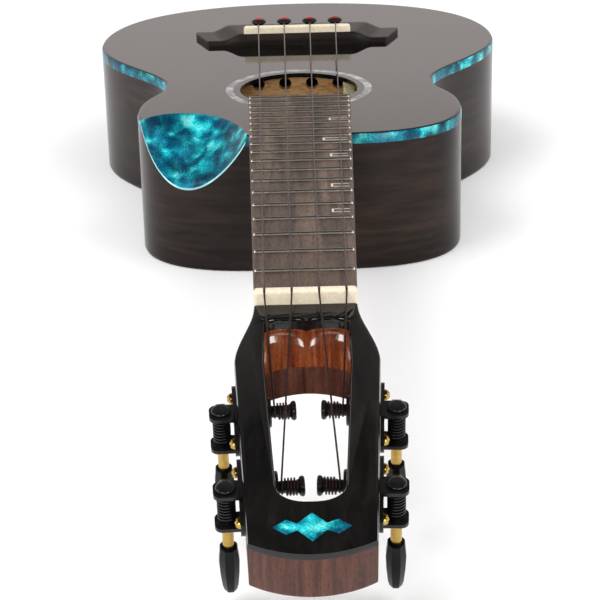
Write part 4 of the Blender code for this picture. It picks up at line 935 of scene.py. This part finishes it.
def machine_list():
    machines = []
    for string, (side, row, name) in enumerate(MACHINE_NAMES):
        station = UPPER_POST_STATION + row * POST_SPACING
        centre = Vector((side * head_half(station), -station, -POST_DEPTH_IN_HEAD))
        angle = -HEAD_SIDE_ANGLE if side > 0 else math.pi + HEAD_SIDE_ANGLE
        place = HEAD_FRAME @ Matrix.Translation(centre) @ Matrix.Rotation(angle, 4, "Z")
        machines.append({"side": side, "name": name, "frame": place, "string": string})
    return machines


MACHINES = machine_list()


def tip_y(machine, distance):
    return -machine["side"] * distance


def make_machine_plate(machine):
    matrix = machine["frame"]
    name = machine["name"]
    half = PLATE_HALF
    near = WORM_FROM_POST - EAR_HALF_WIDTH
    far = WORM_FROM_POST + EAR_HALF_WIDTH
    low = -(LOWER_EAR + EAR_THICKNESS)
    high = UPPER_EAR + EAR_THICKNESS
    outline = arc_points((-SCREW_BEHIND_POST, 0.0), half, math.pi / 2, 3 * math.pi / 2, 20)
    outline += [(near, -half), (near, low), (far, low), (far, -half)]
    outline += arc_points((SCREW_AHEAD_OF_POST, 0.0), half, -math.pi / 2, math.pi / 2, 20)
    outline += [(far, half), (far, high), (near, high), (near, half)]
    outer_x = GAP + MACHINE_PLATE
    sections = [[matrix @ Vector((x, tip_y(machine, along), z)) for along, z in outline]
                for x in (0.0001, outer_x)]
    plate = loft_object("plate_" + name, sections)
    worm_y = tip_y(machine, WORM_FROM_POST)
    root = GAP + MACHINE_PLATE / 2
    radius = 0.0026
    ear = [(root, -EAR_HALF_WIDTH)]
    for start, side in ((-math.pi / 2, -1), (0.0, 1)):
        centre = (EAR_REACH - radius, side * (EAR_HALF_WIDTH - radius))
        ear += arc_points(centre, radius, start, start + math.pi / 2, 10)
    ear.append((root, EAR_HALF_WIDTH))
    ears = bmesh.new()
    for base in (UPPER_EAR, low):
        add_prism(ears, [(x, worm_y + y) for x, y in ear], base, base + EAR_THICKNESS, matrix)
    carve(plate, ears, "UNION")
    dress(plate, "black_metal", "tuner_plate_" + name, edge=0.0002)
    dome = [(-0.0005, 0.0019), (0.0, 0.0019), (0.0006, 0.00185), (0.0012, 0.0015), (0.0016, 0.0009),
            (0.0018, 0.0003)]
    for number, along in enumerate((-SCREW_BEHIND_POST, SCREW_AHEAD_OF_POST), 1):
        place = matrix @ Matrix.Translation((outer_x, tip_y(machine, along), 0.0))
        screw = turned_object("plate_screw_" + name + "_" + str(number), dome, place, 24)
        outward = place @ Matrix.Rotation(math.pi / 2, 4, "Y")
        for wide, tall in ((0.0013, 0.00024), (0.00024, 0.0013)):
            groove = ((-tall, -wide), (tall, -wide), (tall, wide), (-tall, wide))
            carve(screw, shape_of(add_prism, groove, 0.0010, 0.0025, outward))
        dress(screw, "gold_metal")


def worm_matrix(machine):
    return machine["frame"] @ Matrix.Translation((WORM_OUT, tip_y(machine, WORM_FROM_POST), 0.0))


def add_thread(shape, matrix, facing, low, high):
    """A worm thread whose tooth fades out at both ends."""
    count = 28
    turns = math.ceil((high - low) / WORM_PITCH) + 3
    first = math.floor(low / WORM_PITCH) - 1
    strands = []
    for offset, share in ((0.0, 0.0), (0.14, 0.0), (0.36, 1.0), (0.64, 1.0), (0.86, 0.0), (1.0, 0.0)):
        strand = []
        for step in range(turns * count + 1):
            angle = facing + 2 * math.pi * step / count
            z = WORM_PITCH * (first + offset + step / count)
            fade = limited(min((z - low) / WORM_PITCH, (high - z) / WORM_PITCH))
            reach = WORM_ROOT_RADIUS + (WORM_TIP_RADIUS - WORM_ROOT_RADIUS) * share * fade
            place = (reach * math.cos(angle), reach * math.sin(angle), min(max(z, low), high))
            strand.append(shape.verts.new(matrix @ Vector(place)))
        strands.append(strand)
    for lower, upper in zip(strands, strands[1:]):
        for step in range(turns * count):
            shape.faces.new((lower[step], lower[step + 1], upper[step + 1], upper[step]))
    bmesh.ops.remove_doubles(shape, verts=shape.verts, dist=0.000002)


def make_worm(machine):
    matrix = worm_matrix(machine)
    name = machine["name"]
    low = -LOWER_EAR + GAP
    high = UPPER_EAR - GAP
    shape = shape_of(add_thread, matrix, machine["side"] * math.pi / 2, low, high)
    upright = matrix @ X_TO_Z
    cap = UPPER_EAR + EAR_THICKNESS + GAP
    add_turned(shape, rounded([(high - 0.0002, 0.0014), (high, 0.0015), (cap, 0.0015), (cap, 0.0032),
                               (cap + 0.0009, 0.0032), (cap + 0.0015, 0.0021), (cap + 0.0015, 0.0002)],
                              0.0004), upright)
    dress(mesh_object("worm_" + name + "_thread", shape), "black_metal", "worm_" + name, body="key_" + name,
          angle=50)
    ear_end = -LOWER_EAR - EAR_THICKNESS
    profile = [(-BUTTON_BELOW_POST - 0.004, 0.00185), (ear_end - 0.0004, 0.00185), (ear_end - 0.0001, 0.0018),
               (low, 0.0018)]
    shaft = turned_object("key_shaft_" + name, rounded(profile, 0.0002), upright)
    dress(shaft, "gold_metal", body="key_" + name)


def make_button(machine):
    matrix = worm_matrix(machine)
    name = machine["name"]
    levels = ((0.0, 0.0025, 0.0029), (0.0003, 0.0028, 0.0032), (0.0020, 0.0030, 0.0036),
              (0.0050, 0.0033, 0.0041), (0.0100, 0.0031, 0.0042), (0.0155, 0.0026, 0.0037),
              (0.0177, 0.0021, 0.0028), (0.0182, 0.0016, 0.0022))
    chamfer = 0.42
    sections = []
    for down, half_x, half_y in levels:
        corners = [(half_x, half_y * chamfer), (half_x * chamfer, half_y), (-half_x * chamfer, half_y),
                   (-half_x, half_y * chamfer)]
        corners += [(-x, -y) for x, y in corners]
        sections.append(raised(corners, -BUTTON_BELOW_POST - down, matrix))
    button = loft_object("key_" + name + "_button", sections)
    dress(button, "button_black", "button_" + name, body="key_" + name, edge=0.00025, angle=25)


def gear_outline(side):
    tip = GEAR_PITCH_RADIUS + 0.00025
    root = GEAR_PITCH_RADIUS - 0.00062
    outline = []
    for tooth in range(GEAR_TEETH):
        centre = 2 * math.pi * tooth / GEAR_TEETH
        for radius, width in ((root, -0.00048), (tip - 0.0003, -0.0003), (tip, -0.00016), (tip, 0.00016),
                              (tip - 0.0003, 0.0003), (root, 0.00048)):
            angle = centre + width / 2 / radius
            outline.append((radius * math.cos(angle) * side, radius * math.sin(angle)))
    return outline


def make_roller(machine):
    matrix = machine["frame"]
    name = machine["name"]
    body = "roller_" + name
    inner = WORM_OUT - GEAR_HALF_WIDTH
    outer = WORM_OUT + GEAR_HALF_WIDTH
    profile = [(-0.0197, 0.0026), (-0.0195, 0.0031), (-0.0189, 0.0034), (-0.0181, 0.0031),
               (-0.0175, POST_RADIUS), (inner, POST_RADIUS), (inner, 0.0015), (outer, 0.0015)]
    post = turned_object(body + "_post", rounded(profile, 0.0003), matrix)
    dress(post, "black_metal", "post_" + name, body=body)

    outline = gear_outline(tip_y(machine, 1.0))
    levels = ((inner, 0.93), (inner + 0.0004, 1.0), (outer - 0.0004, 1.0), (outer, 0.93))
    sections = [[matrix @ Vector((x, y * grow, z * grow)) for y, z in outline] for x, grow in levels]
    gear = loft_object("gear_" + name + "_wheel", sections)
    dress(gear, "gear_brass", "gear_" + name, body=body)

    base = outer + 0.0001
    profile = [(base, 0.0024), (base + 0.0005, 0.0023), (base + 0.0010, 0.0017), (base + 0.0014, 0.0006)]
    screw = turned_object("gear_screw_" + name + "_head", profile, matrix)
    low = base + 0.0007
    high = base + 0.003
    slot = ((low, -0.003), (high, -0.003), (high, 0.003), (low, 0.003))
    carve(screw, shape_of(add_prism, slot, -0.00025, 0.00025, matrix))
    dress(screw, "gold_metal", "gear_screw_" + name, body=body)

    points = []
    for step in range(WINDING_TURNS * 48 + 1):
        angle = math.pi / 2 + 2 * math.pi * step / 48
        points.append(matrix @ Vector((LANDING_X - WINDING_PITCH - WINDING_PITCH * step / 48,
                                       ROLLER_STRING_RADIUS * math.cos(angle),
                                       ROLLER_STRING_RADIUS * math.sin(angle))))
    make_tube("string_coil_" + name, points, "winding_" + name, body=body)

    wall = -HEAD_WALL
    bore = POST_RADIUS + GAP
    profile = [(wall - 0.0012, bore), (wall - 0.0012, 0.0049), (wall - 0.0009, 0.0053), (wall, 0.0053),
               (wall, BUSHING_RADIUS), (-0.0004, BUSHING_RADIUS), (-0.0004, bore)]
    flange = loft_object("flange_" + name, turned_sections(profile, SMALL, matrix), add_rings)
    dress(flange, "black_metal", "bushing_" + name)


# Strings

def make_tube(name, points, *nodes, body="instrument"):
    curve = bpy.data.curves.new(name, "CURVE")
    curve.dimensions = "3D"
    curve.bevel_depth = STRING_RADIUS
    curve.bevel_resolution = 3
    curve.use_fill_caps = True
    spline = curve.splines.new("POLY")
    spline.points.add(len(points) - 1)
    for target, point in zip(spline.points, points):
        target.co = (*point, 1.0)
    spline.use_smooth = True
    made = bpy.data.objects.new(name, curve)
    bpy.context.scene.collection.objects.link(made)
    curve.materials.append(LOOKS["string_nylon"])
    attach(made, body)
    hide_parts(*nodes)


def string_route(machine):
    """From inside the body, up beside its pin, over saddle and nut, and onto its post."""
    saddle_x = SADDLE_XS[machine["string"]]
    nut_x = NUT_XS[machine["string"]]
    beside_pin = PIN_Y - PIN_RADIUS - GAP - STRING_RADIUS
    over_saddle = BRIDGE_TOP_Z + SADDLE_PROTRUSION + STRING_RADIUS
    over_nut = BOARD_TOP_Z + FRET_HEIGHT + 0.00085
    behind = ((beside_pin, TOP_Z - 0.0066), (beside_pin, BRIDGE_TOP_Z - 0.0012),
              (beside_pin - 0.0003, BRIDGE_TOP_Z - 0.0002), (beside_pin - 0.0012, BRIDGE_TOP_Z + 0.0007),
              (SADDLE_Y + 0.0013, over_saddle - 0.0003), (SADDLE_Y + 0.0005, over_saddle + 0.0001),
              (SADDLE_Y - 0.0005, over_saddle + 0.0001))
    ahead = ((NUT_Y - GAP, over_nut), (NUT_Y - 0.0025, over_nut - 0.0001), (HEAD_Y, over_nut - 0.0007))
    points = [Vector((saddle_x, y, z)) for y, z in behind] + [Vector((nut_x, y, z)) for y, z in ahead]
    for degrees in range(78, 196, 9):
        angle = math.radians(degrees)
        place = Vector((LANDING_X, tip_y(machine, -ROLLER_STRING_RADIUS * math.cos(angle)),
                        ROLLER_STRING_RADIUS * math.sin(angle)))
        points.append(machine["frame"] @ place)
    return points


# Studio

def area_light(name, place, target, size, power, mirrored=True):
    lamp = bpy.data.lights.new(name, "AREA")
    lamp.shape = "RECTANGLE"
    lamp.size = size[0]
    lamp.size_y = size[1]
    lamp.energy = power
    made = bpy.data.objects.new(name, lamp)
    bpy.context.scene.collection.objects.link(made)
    made.location = place
    made.rotation_mode = "QUATERNION"
    made.rotation_quaternion = (Vector(target) - Vector(place)).to_track_quat("-Z", "Y")
    made.visible_glossy = mirrored
    return made


def make_world():
    """White for the camera, even grey for diffuse light, and a soft room for what gloss mirrors."""
    world = bpy.data.worlds.new("studio")
    bpy.context.scene.world = world
    world.use_nodes = True
    tree = world.node_tree
    path = add_node(tree, "LightPath", {}).outputs
    seen = add_math(tree, "MAXIMUM", path["Is Camera Ray"], path["Is Transmission Ray"])
    direction = add_node(tree, "TexCoord", {}).outputs["Generated"]
    split = add_node(tree, "SeparateXYZ", {"Vector": direction}).outputs
    levels = ((0.0, 0.60), (0.26, 1.0), (0.50, 0.40), (0.72, 0.20), (0.77, 0.18), (0.80, 0.03))
    sky = add_ramp(tree, split["Z"], [(place, grey(level)) for place, level in levels])
    inputs = {"Value": split["Y"], "From Min": -0.2, "From Max": 0.55, "To Min": 0.10}
    depth = add_node(tree, "MapRange", inputs).outputs["Result"]
    tint = add_mix(tree, 1.0, add_math(tree, "MULTIPLY", sky, depth), (1.0, 0.92, 0.88, 1.0), "MULTIPLY")
    glossy = add_mix(tree, path["Is Glossy Ray"], (*grey(0.55), 1.0), tint)
    white = add_mix(tree, seen, glossy, (*grey(1.0), 1.0))
    tree.links.new(white, tree.nodes["Background"].inputs["Color"])


def fade_floor(look, camera_ray):
    """The floor fades into the white world far from the object."""
    distance = add_node(look.tree, "VectorMath", {0: look.place()}, operation="LENGTH").outputs["Value"]
    inputs = {"Value": distance, "From Min": FLOOR_FADE[0], "From Max": FLOOR_FADE[1]}
    fade = add_node(look.tree, "MapRange", inputs).outputs["Result"]
    share = add_math(look.tree, "MULTIPLY", fade, camera_ray)
    clear = add_node(look.tree, "BsdfTransparent", {}).outputs["BSDF"]
    blend = add_node(look.tree, "MixShader", {0: share, 1: look.shader.outputs["BSDF"], 2: clear})
    look.tree.links.new(blend.outputs["Shader"], look.tree.nodes["Material Output"].inputs["Surface"])


def make_floor():
    shape = bmesh.new()
    shape.faces.new([shape.verts.new((x * FLOOR_REACH, y * FLOOR_REACH, FLOOR_Z))
                     for x, y in ((-1, -1), (1, -1), (1, 1), (-1, 1))])
    floor = mesh_object("floor", shape)
    look = Look("floor_paper", grey(0.90), 0.9, specular=0.0)
    camera_ray = add_node(look.tree, "LightPath", {}).outputs["Is Camera Ray"]
    paper = look.ramp(look.noise(4.0, 2.0), ((0.3, grey(0.89)), (0.7, grey(0.91))))
    look.color(add_mix(look.tree, camera_ray, paper, (*grey(1.0), 1.0)))
    fade_floor(look, camera_ray)
    floor.data.materials.append(look.material)


def make_lights():
    body = (0.0, -0.1, 0.05)
    neck = (0.0, -0.40, 0.05)
    area_light("key_light", (-0.9, -0.6, 1.5), body, (1.2, 1.2), 16, False)
    area_light("fill_light", (1.0, -0.5, 1.3), body, (1.2, 1.2), 10, False)
    area_light("front_light", (0.0, -2.2, 0.7), (0.0, -0.3, 0.05), (1.6, 0.8), 16, False)
    for side, name in ((-1, "left_glint"), (1, "right_glint")):
        glint = area_light(name, (0.73 * side, -1.82, 0.35), (0.0, -0.39, 0.065), (0.35, 0.6), 6.5)
        glint.visible_diffuse = False
    for side, name in ((-1, "left_strip"), (1, "right_strip")):
        area_light(name, (1.3 * side, -0.55, 0.55), neck, (0.35, 0.9), 2.2)


def make_camera():
    """The place and the turns lie midway between two fits to the photograph's points."""
    lens = bpy.data.cameras.new("camera")
    lens.sensor_width = 36.0
    lens.lens = 111.153
    lens.clip_start = 0.01
    lens.clip_end = 100.0
    camera = bpy.data.objects.new("camera", lens)
    bpy.context.scene.collection.objects.link(camera)
    place = Matrix.Translation((-0.001903, -0.991032, 0.315361))
    yaw = Matrix.Rotation(0.000164, 4, "Z")
    pitch = Matrix.Rotation(math.pi / 2 - 0.382495, 4, "X")
    roll = Matrix.Rotation(-0.025, 4, "Z")
    camera.matrix_world = place @ yaw @ pitch @ roll
    bpy.context.scene.camera = camera


# Nodes that keep their CAD shape

def keep_node(name, slot, edge=0.0):
    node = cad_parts[name]
    node.data.materials.clear()
    node.data.materials.append(LOOKS[slot])
    if edge:
        node.modifiers.new("weld", "WELD").merge_threshold = 0.000005
        round_edges(node, edge, 35.0)


make_body()
make_bridge()
make_board()
make_nut()
make_neck()
for machine in MACHINES:
    make_machine_plate(machine)
    make_worm(machine)
    make_button(machine)
    make_roller(machine)
    number = str(machine["string"] + 1)
    make_tube("string_line_" + number, string_route(machine), "string_" + number)
for name in ("top_lining", "back_lining", "bridge_plate"):
    keep_node(name, "lining_wood")
for name in ("neck_block", "tail_block"):
    keep_node(name, "lining_wood", 0.0005)
keep_node("holed_brace", "brace_wood", 0.0003)
keep_node("soundhole_brace", "spruce", 0.0003)
make_world()
make_floor()
make_lights()
make_camera()
bpy.context.scene.view_settings.view_transform = "Standard"
